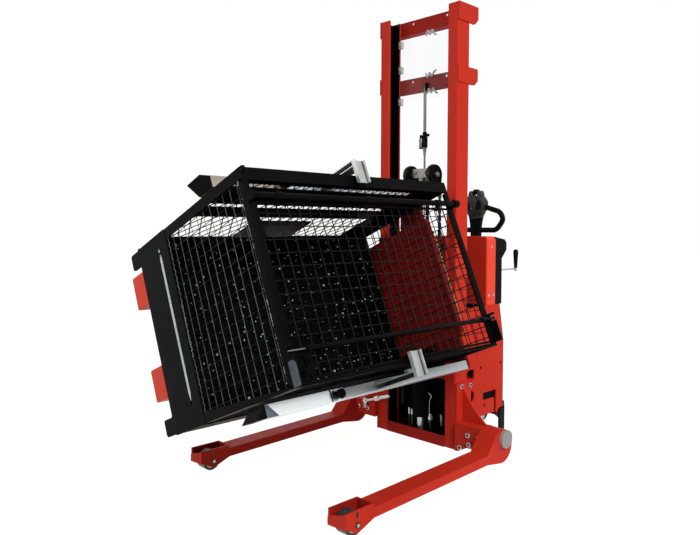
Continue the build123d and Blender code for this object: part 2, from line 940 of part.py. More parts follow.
with BuildPart() as tip_gearbox:
    gearbox_middle = axis_height - slew_outer_radius - gearbox_height / 2
    with BuildSketch(Plane.XZ.offset(-carriage_front)):
        with Locations((gearbox_offset, gearbox_middle)):
            Polygon(*cut_corners(gearbox_length, gearbox_height, rotator_corner), align=None)
    extrude(amount=slew_depth)
    with BuildSketch(Plane.YZ.offset(gearbox_offset - gearbox_length / 2)):
        with Locations((carriage_front - slew_depth / 2 + tip_motor_lift, gearbox_middle)):
            Circle(tip_motor_radius)
    extrude(amount=-tip_motor_length)
save(tip_gearbox, "tip_gearbox")

# Rotator plate: turns with the ring and reaches out to both forks
with BuildPart() as rotator_plate:
    with BuildSketch(across(rotator_back)):
        with Locations((0, (rotator_above_axis - rotator_below_axis) / 2)):
            RectangleRounded(
                2 * rotator_half_width, rotator_above_axis + rotator_below_axis, rotator_corner
            )
        for hand in (1, -1):
            fork_edge = hand * (fork_inner_face + fork_thickness)
            root = hand * (rotator_half_width - rotator_corner)
            with BuildLine():
                Polyline(
                    (root, fork_level - fork_width / 2 - lug_below),
                    (fork_edge, fork_level - fork_width / 2),
                    (fork_edge, fork_level + fork_width / 2),
                    (root, rotator_above_axis - rotator_corner),
                    close=True,
                )
            make_face()
    extrude(amount=-rotator_plate_thickness)
save(rotator_plate, "rotator_plate")

# Forks: two rectangular tubes flat against the cage's sides
with BuildPart() as forks:
    for hand in (1, -1):
        with BuildSketch(across(rotator_front)):
            with Locations((hand * fork_mid, fork_level)):
                Rectangle(fork_thickness, fork_width)
                Rectangle(fork_thickness - 2 * fork_wall, fork_width - 2 * fork_wall, mode=Mode.SUBTRACT)
        extrude(amount=-fork_length)
save(forks, "forks")


def sleeve(hand):
    """Telescoping front end of one fork, with its wedge tip cut on the slant."""
    inner = hand * (fork_mid - sleeve_thickness / 2)
    outer = hand * (fork_mid + sleeve_thickness / 2)
    tip_end = -sleeve_front - tip_length
    with BuildPart() as front_end:
        with BuildSketch(level(fork_level - sleeve_width / 2)):
            with BuildLine():
                Polyline(
                    (-sleeve_rear, inner),
                    (-sleeve_rear, outer),
                    (tip_end - tip_slant, outer),
                    (tip_end, inner),
                    close=True,
                )
            make_face()
        extrude(amount=sleeve_width)
        with BuildSketch(across(-sleeve_rear)):
            with Locations((hand * fork_mid, fork_level)):
                Rectangle(fork_thickness + 2 * sleeve_gap, fork_width + 2 * sleeve_gap)
        extrude(amount=sleeve_rear - sleeve_front, mode=Mode.SUBTRACT)
    return front_end


def knob(hand):
    """Star knob that locks one sleeve."""
    with BuildPart() as star:
        with BuildSketch(level(sleeve_face + knob_gap)):
            with Locations((-knob_setback, hand * fork_mid)):
                Circle(knob_stem_radius)
        extrude(amount=knob_stem_length)
        with BuildSketch(level(sleeve_face + knob_gap + knob_stem_length)):
            with Locations((-knob_setback, hand * fork_mid)):
                RegularPolygon(knob_radius, knob_lobes)
                RegularPolygon(knob_radius, knob_lobes, rotation=180 / knob_lobes)
        extrude(amount=knob_thickness)
    return star


for hand, side_name in ((-1, "left"), (1, "right")):
    save(sleeve(hand), f"fork_sleeve_{side_name}")
    save(knob(hand), f"star_knob_{side_name}")

# Cage hooks: a strut up from each fork and a channel turned in over the rim
hook_floor = cage_top + hook_clearance
fork_face = fork_level + fork_width / 2
with BuildPart() as cage_hooks:
    for hand in (1, -1):
        hook_outer = fork_inner_face + fork_thickness
        with BuildSketch(level(fork_face)):
            with Locations((-hook_setback, hand * (hook_outer - hook_strut_width / 2))):
                Rectangle(hook_width, hook_strut_width)
        extrude(amount=hook_floor - fork_face)
        with BuildSketch(beside(hand * hook_outer)):
            with Locations((-hook_setback, hook_floor + hook_flange / 2)):
                Rectangle(hook_width, hook_flange)
            with Locations((-hook_setback, hook_floor + hook_web + hook_flange / 2)):
                Rectangle(hook_width - 2 * hook_web, hook_flange, mode=Mode.SUBTRACT)
        extrude(amount=hand * (hook_outer - hook_end))
save(cage_hooks, "cage_hooks")

# Cage base: floor plate, side rails and two bearers drawn as one section
tray_front = cage_front + base_plate
tray_back = cage_back - base_plate
with BuildPart() as base_tray:
    with BuildSketch(across(tray_back)):
        for hand in (1, -1):
            with Locations((hand * (half_cage - rail_plate / 2), cage_floor - base_depth / 2)):
                Rectangle(rail_plate, base_depth)
            with Locations((hand * bearer_spread / 2, cage_floor - base_depth / 2)):
                Rectangle(bearer_width, base_depth)
            with Locations((hand * bearer_spread / 2, cage_floor - floor_plate - base_depth / 2)):
                Rectangle(
                    bearer_width - 2 * bearer_wall,
                    base_depth - 2 * bearer_wall,
                    mode=Mode.SUBTRACT,
                )
        with Locations((0, cage_floor - floor_plate / 2)):
            Rectangle(cage_width, floor_plate)
    extrude(amount=tray_front - tray_back)
save(base_tray, "base_tray")

# Front and rear base plates, with a tab at each corner and a long slot
half_plate = base_plate_width / 2
with BuildPart() as base_end_plates:
    for plate_back in (cage_back, tray_front):
        with BuildSketch(across(plate_back)) as outline:
            with Locations((0, cage_floor - (base_plate_drop + base_depth) / 2)):
                Rectangle(base_plate_width, base_depth - base_plate_drop)
            for hand in (1, -1):
                tab_middle = hand * (half_plate - base_tab_inset - base_tab_width / 2)
                with Locations((tab_middle, base_bottom)):
                    Rectangle(base_tab_width, 2 * base_tab_height)
            chamfer(outline.vertices(), base_plate_corner)
            with Locations((0, cage_floor - base_slot_drop)):
                corners = cut_corners(base_slot_length, base_slot_width, base_slot_width / 3)
                Polygon(*corners, align=None, mode=Mode.SUBTRACT)
        extrude(amount=-base_plate)
save(base_end_plates, "base_end_plates")

# Red feet under the bearers, hollow from above
with BuildPart() as cage_feet:
    for foot_middle in (cage_front + foot_length / 2, cage_back - foot_length / 2):
        with BuildSketch(level(base_bottom)):
            with Locations((foot_middle, 0)):
                with GridLocations(1, bearer_spread, 1, 2):
                    Rectangle(foot_length, foot_width)
        extrude(amount=-foot_height)
    sole = cage_feet.faces().filter_by(level(0)).sort_by(Axis((0, 0, 0), rise_dir))[:4]
    chamfer(sole.edges().filter_by(Axis((0, 0, 0), across_dir)), foot_bevel)
    for foot_middle in (cage_front + foot_length / 2, cage_back - foot_length / 2):
        with BuildSketch(level(base_bottom)):
            with Locations((foot_middle, 0)):
                with GridLocations(1, bearer_spread, 1, 2):
                    Rectangle(foot_length - 2 * foot_wall, foot_width - 2 * foot_wall)
        extrude(amount=foot_bevel - foot_height, mode=Mode.SUBTRACT)
save(cage_feet, "cage_feet")

# Studded mat on the cage floor
cage_mid = (cage_front + cage_back) / 2
mesh_depth = 2 * wire
inside_front = cage_front + post_wall + mesh_depth
inside_back = cage_back - post_wall - mesh_depth
with BuildPart() as stud_mat:
    with BuildSketch(level(cage_floor)):
        with Locations((cage_mid, 0)):
            Rectangle(inside_back - inside_front, cage_width - 2 * (post_wall + side_sheet + mat_margin))
    extrude(amount=mat_plate)
    with BuildSketch(level(cage_floor + mat_plate)):
        with Locations((cage_mid, 0)):
            with GridLocations(stud_pitch, stud_pitch, stud_columns, stud_rows):
                RegularPolygon(stud_radius, stud_sides)
    extrude(amount=stud_height, taper=stud_taper)
save(stud_mat, "stud_mat")

# Cage frame: corner angles, rim flats, keepers for the lock bar and lugs for the hinge tube
with BuildPart() as cage_frame:
    for hand in (1, -1):
        for corner_y, inward in ((cage_front, 1), (cage_back, -1)):
            with BuildSketch(level(cage_floor)):
                with Locations((corner_y + inward * post_wall / 2, hand * (half_cage - post_width / 2))):
                    Rectangle(post_wall, post_width)
                with Locations((corner_y + inward * post_width / 2, hand * (half_cage - post_wall / 2))):
                    Rectangle(post_width, post_wall)
            extrude(amount=cage_wall_height - rim_plate)
    with BuildSketch(level(rim_bottom)):
        with Locations((cage_mid, 0)):
            Rectangle(cage_length, cage_width)
            Rectangle(cage_length - 2 * post_width, cage_width - 2 * post_width, mode=Mode.SUBTRACT)
    extrude(amount=rim_plate)
    for plate_front in (cage_front, cage_back - keeper_plate):
        with BuildSketch(across(plate_front)):
            keeper_middle = lock_bar_across - keeper_width / 2 + 2 * lock_bar_radius
            with Locations((keeper_middle, cage_top + keeper_height / 2)):
                Rectangle(keeper_width, keeper_height)
            notch_bottom = hinge_level - lock_bar_radius - keeper_gap
            with Locations((lock_bar_across, notch_bottom + keeper_height / 2)):
                Rectangle(2 * (lock_bar_radius + keeper_gap), keeper_height, mode=Mode.SUBTRACT)
        extrude(amount=keeper_plate)
    for lug_front in (cage_front, cage_back - hinge_lug_plate):
        with BuildSketch(across(lug_front)):
            lug_height = 2 * hinge_tube_lift
            with Locations((hinge_tube_across + hinge_tube_radius, cage_top + lug_height / 2)):
                Rectangle(hinge_lug_width + 2 * hinge_tube_radius, lug_height)
            with Locations((hinge_tube_across, hinge_level)):
                Circle(hinge_tube_radius, mode=Mode.SUBTRACT)
        extrude(amount=hinge_lug_plate)
save(cage_frame, "cage_frame")

# Welded-wire end walls: upright wires against the posts, lying wires behind them
wall_height = cage_wall_height - rim_plate
end_width = cage_width - 2 * (post_wall + side_sheet + end_gap)
end_middle = (0, cage_floor + wall_height / 2)
with BuildPart() as cage_end_meshes:
    for wall_plane, inward in ((cage_front + post_wall, 1), (cage_back - post_wall, -1)):
        extrude(
            bars(
                across(wall_plane),
                end_middle,
                wire,
                wall_height,
                (end_width - wire) / end_columns,
                end_columns + 1,
                True,
            ),
            amount=inward * wire,
        )
        extrude(
            bars(
                across(wall_plane + inward * wire),
                end_middle,
                wire,
                end_width,
                (wall_height - wire) / end_rows,
                end_rows + 1,
                False,
            ),
            amount=inward * wire,
        )
save(cage_end_meshes, "cage_end_meshes")

# Side walls: expanded-metal sheets with two stays and the ledge that rests on the fork
side_length = inside_back - inside_front
with BuildPart() as cage_side_walls:
    for hand in (1, -1):
        sheet_face = half_cage - post_wall
        with BuildSketch(beside(hand * sheet_face)):
            with Locations((cage_mid, cage_floor + wall_height / 2)):
                Rectangle(side_length, wall_height)
                pitch_along = (side_length - 2 * side_margin) / diamond_columns
                pitch_up = (wall_height - 2 * side_margin) / diamond_rows
                with GridLocations(pitch_along, pitch_up, diamond_columns, diamond_rows):
                    Polygon(
                        (diamond_length / 2, 0),
                        (0, diamond_height / 2),
                        (-diamond_length / 2, 0),
                        (0, -diamond_height / 2),
                        align=None,
                        mode=Mode.SUBTRACT,
                    )
        extrude(amount=hand * side_sheet)
        with BuildSketch(beside(hand * sheet_face)):
            with Locations((cage_mid, stay_low), (cage_mid, stay_high)):
                Rectangle(cage_length - 2 * post_width, stay_width)
        extrude(amount=-hand * stay_plate)
        with BuildSketch(beside(hand * sheet_face)):
            ledge_middle = fork_face + ledge_gap + ledge_plate / 2
            ledge_length = sleeve_rear - cage_rear - 2 * post_width
            with Locations((cage_back - post_width - ledge_length / 2, ledge_middle)):
                Rectangle(ledge_length, ledge_plate)
        extrude(amount=-hand * ledge_reach)
save(cage_side_walls, "cage_side_walls")

# Hinge tube of the gate, with a round knob on its rear end
with BuildPart() as gate_hinge_tube:
    with BuildSketch(across(cage_front)):
        with Locations((hinge_tube_across, hinge_level)):
            Circle(hinge_tube_radius)
    extrude(amount=cage_length)
    with BuildSketch(across(cage_back)):
        with Locations((hinge_tube_across, hinge_level)):
            Circle(hinge_tube_knob)
    extrude(amount=hinge_tube_over)
save(gate_hinge_tube, "gate_hinge_tube")

# Gate: flat-bar frame in the rim, wire mesh below it, knuckles on the tube and the lock bar
gate_bottom_edge = -(half_cage - post_width - gate_gap)
gate_length = cage_length - 2 * (post_width + gate_gap)
gate_height = gate_top_edge - gate_bottom_edge
gate_middle = (cage_mid, (gate_top_edge + gate_bottom_edge) / 2)
latch_middle = (cage_mid - gate_length / 2 + latch_width / 2, gate_bottom_edge + latch_inset)
with BuildPart() as gate:
    with BuildSketch(level(rim_bottom)):
        with Locations(gate_middle):
            Rectangle(gate_length, gate_height)
            Rectangle(gate_length - 2 * gate_bar, gate_height - 2 * gate_bar, mode=Mode.SUBTRACT)
        with Locations((cage_mid, lock_bar_across)):
            Rectangle(gate_length, gate_bar)
    extrude(amount=rim_plate)
    extrude(
        bars(
            level(rim_bottom - wire),
            gate_middle,
            wire,
            gate_height,
            (gate_length - wire) / gate_columns,
            gate_columns + 1,
            True,
        ),
        amount=wire,
    )
    extrude(
        bars(
            level(rim_bottom - 2 * wire),
            gate_middle,
            wire,
            gate_length,
            (gate_height - wire) / gate_rows,
            gate_rows + 1,
            False,
        ),
        amount=wire,
    )
    knuckle_radius = hinge_tube_radius + running_fit + knuckle_wall
    for step in (-1, 0, 1):
        with BuildSketch(across(cage_mid + step * knuckle_pitch - knuckle_length / 2)):
            with Locations((hinge_tube_across, hinge_level)):
                RegularPolygon(knuckle_radius, knuckle_sides, major_radius=False)
            with BuildLine():
                Polyline(
                    (hinge_tube_across, hinge_level + knuckle_radius),
                    (gate_top_edge - gate_bar, cage_top),
                    (gate_top_edge, cage_top),
                    (hinge_tube_across, hinge_level - knuckle_radius),
                    close=True,
                )
            make_face()
            with Locations((hinge_tube_across, hinge_level)):
                Circle(hinge_tube_radius + running_fit, mode=Mode.SUBTRACT)
        extrude(amount=knuckle_length)
    with BuildSketch(across(cage_front - lock_bar_over)):
        with Locations((lock_bar_across, hinge_level)):
            Circle(lock_bar_radius)
    extrude(amount=cage_length + 2 * lock_bar_over)
    with BuildSketch(level(cage_top)):
        with Locations((cage_mid, lock_bar_across)):
            with GridLocations(knuckle_pitch, 1, 3, 1):
                Rectangle(knuckle_length, lock_lug)
    extrude(amount=hinge_tube_lift)
    with BuildSketch(level(cage_top)):
        with Locations(latch_middle):
            Circle(latch_pin_radius)
    extrude(amount=latch_lift + latch_plate)
save(gate, "gate")

# Turn latch of the gate, reaching over the rim
with BuildPart() as gate_latch:
    with BuildSketch(level(cage_top + latch_lift)):
        with Locations((latch_middle[0], latch_middle[1] + latch_width / 2 - latch_length / 2)):
            Polygon(*cut_corners(latch_width, latch_length, latch_width / 3), align=None)
        with Locations(latch_middle):
            Circle(latch_pin_radius + running_fit, mode=Mode.SUBTRACT)
    extrude(amount=latch_plate)
save(gate_latch, "gate_latch")

# Steering head: column through the deck, wheel fork, gearbox, motor and the tiller's clevis
steer_point = (0, steer_setback)
with BuildPart() as steer_head:
    with BuildSketch(Plane.XY.offset(drive_crown)):
        with Locations(steer_point):
            Rectangle(2 * (drive_gear_radius + drive_cheek), drive_cheek_width)
    extrude(amount=drive_crown_plate)
    with BuildSketch(Plane.XY.offset(drive_crown)):
        with Locations(steer_point):
            Circle(column_radius)
    extrude(amount=column_top - drive_crown)
    cheek_face = drive_wheel_width / 2 + drive_cheek_gap
    for side in (1, -1):
        with BuildSketch(Plane.YZ.offset(side * cheek_face)):
            with Locations((steer_setback, drive_wheel_radius)):
                RegularPolygon(
                    drive_cheek_width / 2,
                    clevis_sides,
                    major_radius=False,
                    rotation=180 / clevis_sides,
                )
            with Locations((steer_setback, (drive_wheel_radius + drive_crown) / 2)):
                Rectangle(drive_cheek_width, drive_crown - drive_wheel_radius)
        extrude(amount=side * drive_cheek)
    with BuildSketch(Plane.YZ.offset(-cheek_face)):
        with Locations((steer_setback, drive_wheel_radius)):
            Circle(drive_axle_radius)
    extrude(amount=2 * cheek_face)
    with BuildSketch(Plane.YZ.offset(cheek_face + drive_cheek)):
        with Locations((steer_setback, drive_wheel_radius)):
            Circle(drive_gear_radius)
    extrude(amount=drive_gear_width)
    with BuildSketch(Plane.YZ.offset(-cheek_face - drive_cheek)):
        with Locations((steer_setback, drive_wheel_radius)):
            Circle(drive_motor_radius)
    extrude(amount=-drive_motor_length)
    with BuildSketch(Plane.XY.offset(deck_height + swivel_gap)):
        with Locations((0, (steer_setback + tiller_setback - clevis_radius - clevis_gap) / 2)):
            Rectangle(
                2 * (tiller_width / 2 + clevis_gap + clevis_plate),
                tiller_setback - clevis_radius - clevis_gap - steer_setback + 2 * column_radius,
            )
    extrude(amount=column_top - deck_height - swivel_gap)
    for side in (1, -1):
        with BuildSketch(Plane.YZ.offset(side * (tiller_width / 2 + clevis_gap))):
            with Locations((tiller_setback, tiller_pivot)):
                RegularPolygon(clevis_radius, clevis_sides)
            with Locations((steer_setback + column_radius, (deck_height + swivel_gap + column_top) / 2)):
                Rectangle(column_radius, column_top - deck_height - swivel_gap)
            make_hull()
        extrude(amount=side * clevis_plate)
    with BuildSketch(Plane.YZ.offset(-tiller_width / 2 - clevis_gap)):
        with Locations((tiller_setback, tiller_pivot)):
            Circle(tiller_pin_radius)
    extrude(amount=tiller_width + 2 * clevis_gap)
save(steer_head, "steer_head")

drive_wheel = wheel(
    0, steer_setback, drive_wheel_radius, drive_wheel_radius, drive_wheel_width, drive_axle_radius
)
save(drive_wheel, "drive_wheel")


def castor_fork(side):
    """One swivel fork below its post, trailing towards the front."""
    x = side * castor_spread / 2
    axle_y = castor_setback - castor_trail
    cheek_start = castor_wheel_width / 2 + castor_cheek_gap
    with BuildPart() as fork:
        with BuildSketch(Plane.XY.offset(castor_crown)):
            with Locations((x, castor_setback)):
                Circle(castor_crown_radius)
        extrude(amount=castor_crown_plate)
        for flank in (1, -1):
            with BuildSketch(Plane.YZ.offset(x + flank * cheek_start)):
                with Locations((axle_y, castor_wheel_radius)):
                    RegularPolygon(2 * castor_axle_radius, clevis_sides)
                with Locations((castor_setback, castor_crown - castor_crown_plate / 2)):
                    Rectangle(castor_crown_radius, castor_crown_plate)
                make_hull()
            extrude(amount=flank * castor_cheek)
        with BuildSketch(Plane.YZ.offset(x - cheek_start)):
            with Locations((axle_y, castor_wheel_radius)):
                Circle(castor_axle_radius)
        extrude(amount=2 * cheek_start)
    return fork


for side, side_name in ((1, "left"), (-1, "right")):
    save(castor_fork(side), f"castor_fork_{side_name}")
    castor_wheel = wheel(
        side * castor_spread / 2,
        castor_setback - castor_trail,
        castor_wheel_radius,
        castor_wheel_radius,
        castor_wheel_width,
        castor_axle_radius,
    )
    save(castor_wheel, f"castor_wheel_{side_name}")

# Tiller arm: a widening column from the pivot to the head, with the loop handle round it
loop_start = tiller_head_width / 2 - tiller_head_round
with BuildPart() as tiller_arm:
    with BuildSketch(Plane.YZ.offset(-tiller_width / 2)):
        with Locations((tiller_setback, tiller_pivot)):
            Circle(tiller_foot_radius)
        with Locations((tiller_setback, tiller_pivot + tiller_depth)):
            Rectangle(tiller_depth, tiller_depth)
        make_hull()
        with Locations((tiller_setback, tiller_pivot)):
            Circle(tiller_pin_radius + running_fit, mode=Mode.SUBTRACT)
    extrude(amount=tiller_width)
    with BuildSketch(Plane.XZ.offset(-tiller_setback + tiller_depth / 2)):
        with BuildLine():
            Polyline(
                (-tiller_width / 2, tiller_pivot + tiller_depth),
                (tiller_width / 2, tiller_pivot + tiller_depth),
                (tiller_top_width / 2, tiller_head_bottom),
                (-tiller_top_width / 2, tiller_head_bottom),
                close=True,
            )
        make_face()
    extrude(amount=-tiller_depth)
    for side in (1, -1):
        with BuildLine() as handle:
            FilletPolyline(
                (side * tiller_width / 4, tiller_setback, loop_bottom),
                (side * loop_bottom_half_width, tiller_setback, loop_bottom),
                (side * loop_half_width, tiller_setback, loop_middle),
                (side * loop_shoulder_half_width, tiller_setback, loop_shoulder),
                (side * loop_start, tiller_setback, loop_top),
                radius=loop_bend,
            )
        with BuildSketch(Plane(handle.line @ 0, z_dir=handle.line % 0)):
            RegularPolygon(loop_tube_radius, loop_tube_sides, rotation=180 / loop_tube_sides)
        sweep(path=handle.line)
    with BuildSketch(Plane.XY.offset(tiller_head_bottom)):
        with Locations((0, tiller_setback)):
            Rectangle(tiller_head_width, tiller_head_depth)
    extrude(amount=tiller_head_height, mode=Mode.SUBTRACT)
save(tiller_arm, "tiller_arm")

# Tiller head on top of the arm
with BuildPart() as tiller_head:
    with BuildSketch(Plane.XY.offset(tiller_head_bottom)):
        with Locations((0, tiller_setback)):
            Rectangle(tiller_head_width, tiller_head_depth)
    extrude(amount=tiller_head_height)
    chamfer(tiller_head.edges().filter_by(Axis.Y), tiller_head_round)
    thumb_level = tiller_head_bottom + tiller_head_height + thumb_lift
    with BuildSketch(Plane.YZ.offset(-thumb_width / 2 - thumb_gap)):
        with Locations((tiller_setback, thumb_level)):
            Circle(thumb_radius + thumb_gap)
    extrude(amount=thumb_width + 2 * thumb_gap, mode=Mode.SUBTRACT)
save(tiller_head, "tiller_head")

# Thumb control: a faceted roller half sunk in the head
with BuildPart() as thumb_control:
    with BuildSketch(Plane.YZ.offset(-thumb_width / 2)):
        with Locations((tiller_setback, thumb_level)):
            RegularPolygon(thumb_radius, thumb_sides)
    extrude(amount=thumb_width)
save(thumb_control, "thumb_control")

# Tip lever on the rear panel: boss, rod and upright grip
with BuildPart() as tip_lever:
    lever_start = rear_panel_waist + lever_gap
    with BuildSketch(Plane.XZ.offset(-lever_start)):
        with Locations((lever_offset, lever_height)):
            RegularPolygon(lever_boss_radius, lever_boss_sides)
    extrude(amount=-lever_boss_depth)
    with BuildSketch(Plane.XZ.offset(-lever_start)):
        with Locations((lever_offset, lever_height)):
            RegularPolygon(lever_rod_radius, lever_rod_sides)
    extrude(amount=-lever_reach)
    with BuildSketch(Plane.XY.offset(lever_height - lever_grip_drop)):
        with Locations((lever_offset, lever_start + lever_reach)):
            RegularPolygon(lever_grip_radius, lever_grip_sides)
    extrude(amount=lever_grip_length, taper=lever_grip_taper)
save(tip_lever, "tip_lever")
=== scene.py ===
import math
import random

import bmesh
import bpy
from mathutils import Matrix, Vector


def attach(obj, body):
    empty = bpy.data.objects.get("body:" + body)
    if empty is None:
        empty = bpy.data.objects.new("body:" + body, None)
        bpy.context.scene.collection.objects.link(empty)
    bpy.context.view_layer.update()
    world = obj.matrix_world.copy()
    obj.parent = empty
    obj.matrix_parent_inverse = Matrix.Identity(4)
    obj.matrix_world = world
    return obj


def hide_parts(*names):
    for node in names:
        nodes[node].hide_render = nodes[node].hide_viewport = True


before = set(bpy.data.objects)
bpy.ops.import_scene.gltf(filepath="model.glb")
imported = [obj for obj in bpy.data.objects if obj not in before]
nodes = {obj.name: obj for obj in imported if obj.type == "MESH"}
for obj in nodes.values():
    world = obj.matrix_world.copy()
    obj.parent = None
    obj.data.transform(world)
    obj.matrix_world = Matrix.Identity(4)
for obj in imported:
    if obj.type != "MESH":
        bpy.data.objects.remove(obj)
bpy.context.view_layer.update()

scene = bpy.context.scene
mm = 0.001
print("stage: frame loaded,", len(nodes), "nodes")

# the cage leans, so its pieces are drawn in (across, along, up the cage) and set in place by this
cageLook = dict(lean=22.8, axisHeight=716)
leanSin = math.sin(math.radians(cageLook["lean"]))
leanCos = math.cos(math.radians(cageLook["lean"]))
machine = Matrix.Scale(mm, 4)
cage = Matrix((
    (-leanSin * mm, 0, leanCos * mm, 0),
    (0, mm, 0, 0),
    (leanCos * mm, 0, leanSin * mm, cageLook["axisHeight"] * mm),
    (0, 0, 0, 1),
))
cageBodies = {"tipper", "gate_body", "latch_body", "sleeve_left_body", "sleeve_right_body",
              "knob_left_body", "knob_right_body"}

# directions, and places in millimetres that several pieces share
alongX, alongY, alongZ = (1, 0, 0), (0, 1, 0), (0, 0, 1)
hands = ((-1, "left"), (1, "right"))  # of the cage
cageFront, cageRear, cageMiddle, cageHalf = -1122, -100, -611, 353
cageEnds = ((cageFront, 1), (cageRear, -1))  # each with the way inwards
floorTop, cageRim, rimTop, barHeight = -103, 402, 408, 426
latchPin = (-282, -1050)
liftAxis, axleHeight, chainSpread = 41.5, 1250, 68  # piston, sheave axle and chains
panelFace, bracketFace = 229, 241  # outer sides of the chassis


# drawing helpers, all in millimetres; they draw into one draft, which makePiece turns into a piece

draft = bmesh.new()

def bridge(rings, closed=False):
    pairs = list(zip(rings, rings[1:]))
    if closed:
        pairs.append((rings[-1], rings[0]))
    for lower, upper in pairs:
        sides = max(len(lower), len(upper))
        for k in range(sides):
            j = (k + 1) % sides
            corners = (lower[k % len(lower)], lower[j % len(lower)],
                       upper[j % len(upper)], upper[k % len(upper)])
            draft.faces.new(list(dict.fromkeys(corners)))  # a triangle where a ring is one point
    if not closed:
        for ring in (rings[0], rings[-1]):
            if len(ring) > 1:
                draft.faces.new(ring)


def circle(sides):
    turns = [2 * math.pi * k / sides for k in range(sides)]
    return [(math.cos(t), math.sin(t)) for t in turns]


def arc(middle, radius, start, sweep, steps):
    turns = [math.radians(start + sweep * k / steps) for k in range(steps + 1)]
    return [(middle[0] + radius * math.cos(t), middle[1] + radius * math.sin(t)) for t in turns]


def pick(look, names):
    return [look[name] for name in names.split()]


def mirrored(side, outline):
    return [(side * u, w) for u, w in outline]


def sideways(side, low, high):
    return side * low, side * high


def addLoft(sections):
    bridge([[draft.verts.new(p) for p in ring] for ring in sections])


def addPrism(outline, axis, span):
    sections = []
    for along in span:
        spots = [[u, w] for u, w in outline]
        for spot in spots:
            spot.insert(axis, along)
        sections.append(spots)
    addLoft(sections)


def addBox(across, along, up):
    (x0, x1), (y0, y1) = across, along
    addPrism([(x0, y0), (x1, y0), (x1, y1), (x0, y1)], 2, up)


def addPair(across, along, up):  # a box on either side
    for side in (-1, 1):
        addBox(sideways(side, *across), along, up)


def bothWays(halfProfile):
    return [(-along, r) for along, r in reversed(halfProfile)] + halfProfile


def addTurned(profile, at, direction, sides, closed=False):
    turn = Vector(alongZ).rotation_difference(Vector(direction).normalized()).to_matrix()
    rings = []
    for along, radius in profile:
        spots = [(0, 0, along)]
        if radius:
            spots = [(radius * c, radius * s, along) for c, s in circle(sides)]
        rings.append([draft.verts.new(Vector(at) + turn @ Vector(p)) for p in spots])
    bridge(rings, closed)


def addRod(profile, at, direction, sides):  # turned, with both ends flat
    addTurned([(profile[0][0], 0), *profile, (profile[-1][0], 0)], at, direction, sides)


def addStem(profile, at, sides):  # upright rod, its profile counted from the ground
    addRod(profile, (*at, 0), alongZ, sides)


def addBolt(at, direction, flats, head):
    washer, hexagon = flats * 0.95, flats * 0.577
    addRod([(0, washer), (1.6, washer), (2.2, flats * 0.88)], at, direction, 20)
    addRod([(2, hexagon), (1 + head, hexagon), (2 + head, flats * 0.48)], at, direction, 6)


def addTube(path, radius, sides):
    spots = [Vector(p) for p in path]
    rings, side = [], None
    for i, spot in enumerate(spots):
        tangent = (spots[min(i + 1, len(spots) - 1)] - spots[max(i - 1, 0)]).normalized()
        if side is None:
            side = tangent.orthogonal().normalized()
        side = (side - tangent * side.dot(tangent)).normalized()
        other = tangent.cross(side)
        spokes = [side * c + other * s for c, s in circle(sides)]
        rings.append([draft.verts.new(spot + radius * spoke) for spoke in spokes])
    bridge(rings)


def addBand(path, normal, width, thick):
    spots, normal = [Vector(p) for p in path], Vector(normal)
    rings = []
    for i, spot in enumerate(spots):
        near = spots[max(i - 1, 0):i + 2]
        ways = [(b - a).normalized() for a, b in zip(near, near[1:])]
        mean = sum(ways, Vector()).normalized()
        side = normal.cross(mean) * (width / 2 / max(mean.dot(ways[0]), 0.35))
        up = normal * (thick / 2)
        corners = (side + up, side - up, -side - up, -side + up)
        rings.append([draft.verts.new(spot + p) for p in corners])
    bridge(rings)


def roundedPath(corners, radius, steps):
    spots = [Vector(p) for p in corners]
    path = [spots[0]]
    for before, corner, after in zip(spots, spots[1:], spots[2:]):
        inWay, outWay = (before - corner).normalized(), (after - corner).normalized()
        half = inWay.angle(outWay) / 2
        room = 0.49 * min((before - corner).length, (after - corner).length)
        reach = min(radius / math.tan(half), room)
        start, end = corner + inWay * reach, corner + outWay * reach
        for k in range(steps + 1):
            t = k / steps
            path.append((1 - t) ** 2 * start + 2 * t * (1 - t) * corner + t ** 2 * end)
    path.append(spots[-1])
    return path


def roundedBox(width, depth, corner, z, at, steps=4):
    ring = []
    for sx, sy, start in ((1, 1, 0), (-1, 1, 90), (-1, -1, 180), (1, -1, 270)):
        middle = at[0] + sx * (width / 2 - corner), at[1] + sy * (depth / 2 - corner)
        ring += [(x, y, z) for x, y in arc(middle, corner, start, 90, steps)]
    return ring


def makePiece(name, body, coat, replaced=(), bevel=0.0, sharp=35):
    finish = bpy.data.materials[coat]
    place = cage if body in cageBodies else machine
    bmesh.ops.transform(draft, matrix=place, verts=draft.verts)
    bmesh.ops.recalc_face_normals(draft, faces=draft.faces)
    mesh = bpy.data.meshes.new(name)
    draft.to_mesh(mesh)
    draft.clear()
    mesh.materials.append(finish)
    mesh.polygons.foreach_set("use_smooth", [True] * len(mesh.polygons))
    mesh.set_sharp_from_angle(angle=math.radians(sharp))
    piece = bpy.data.objects.new(name, mesh)
    scene.collection.objects.link(piece)
    if bevel:
        softEdge = piece.modifiers.new("softEdge", "BEVEL")
        softEdge.width, softEdge.segments, softEdge.limit_method = bevel * mm, 2, "ANGLE"
        softEdge.angle_limit, softEdge.harden_normals = math.radians(35), True
    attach(piece, body)
    if replaced:
        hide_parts(*replaced)


def addNode(tree, kind, values, links, **settings):
    node = tree.nodes.new("ShaderNode" + kind)
    for name, value in settings.items():
        setattr(node, name, value)
    for name, value in values.items():
        node.inputs[name].default_value = value
    for name, source in links.items():
        tree.links.new(source, node.inputs[name])
    return node
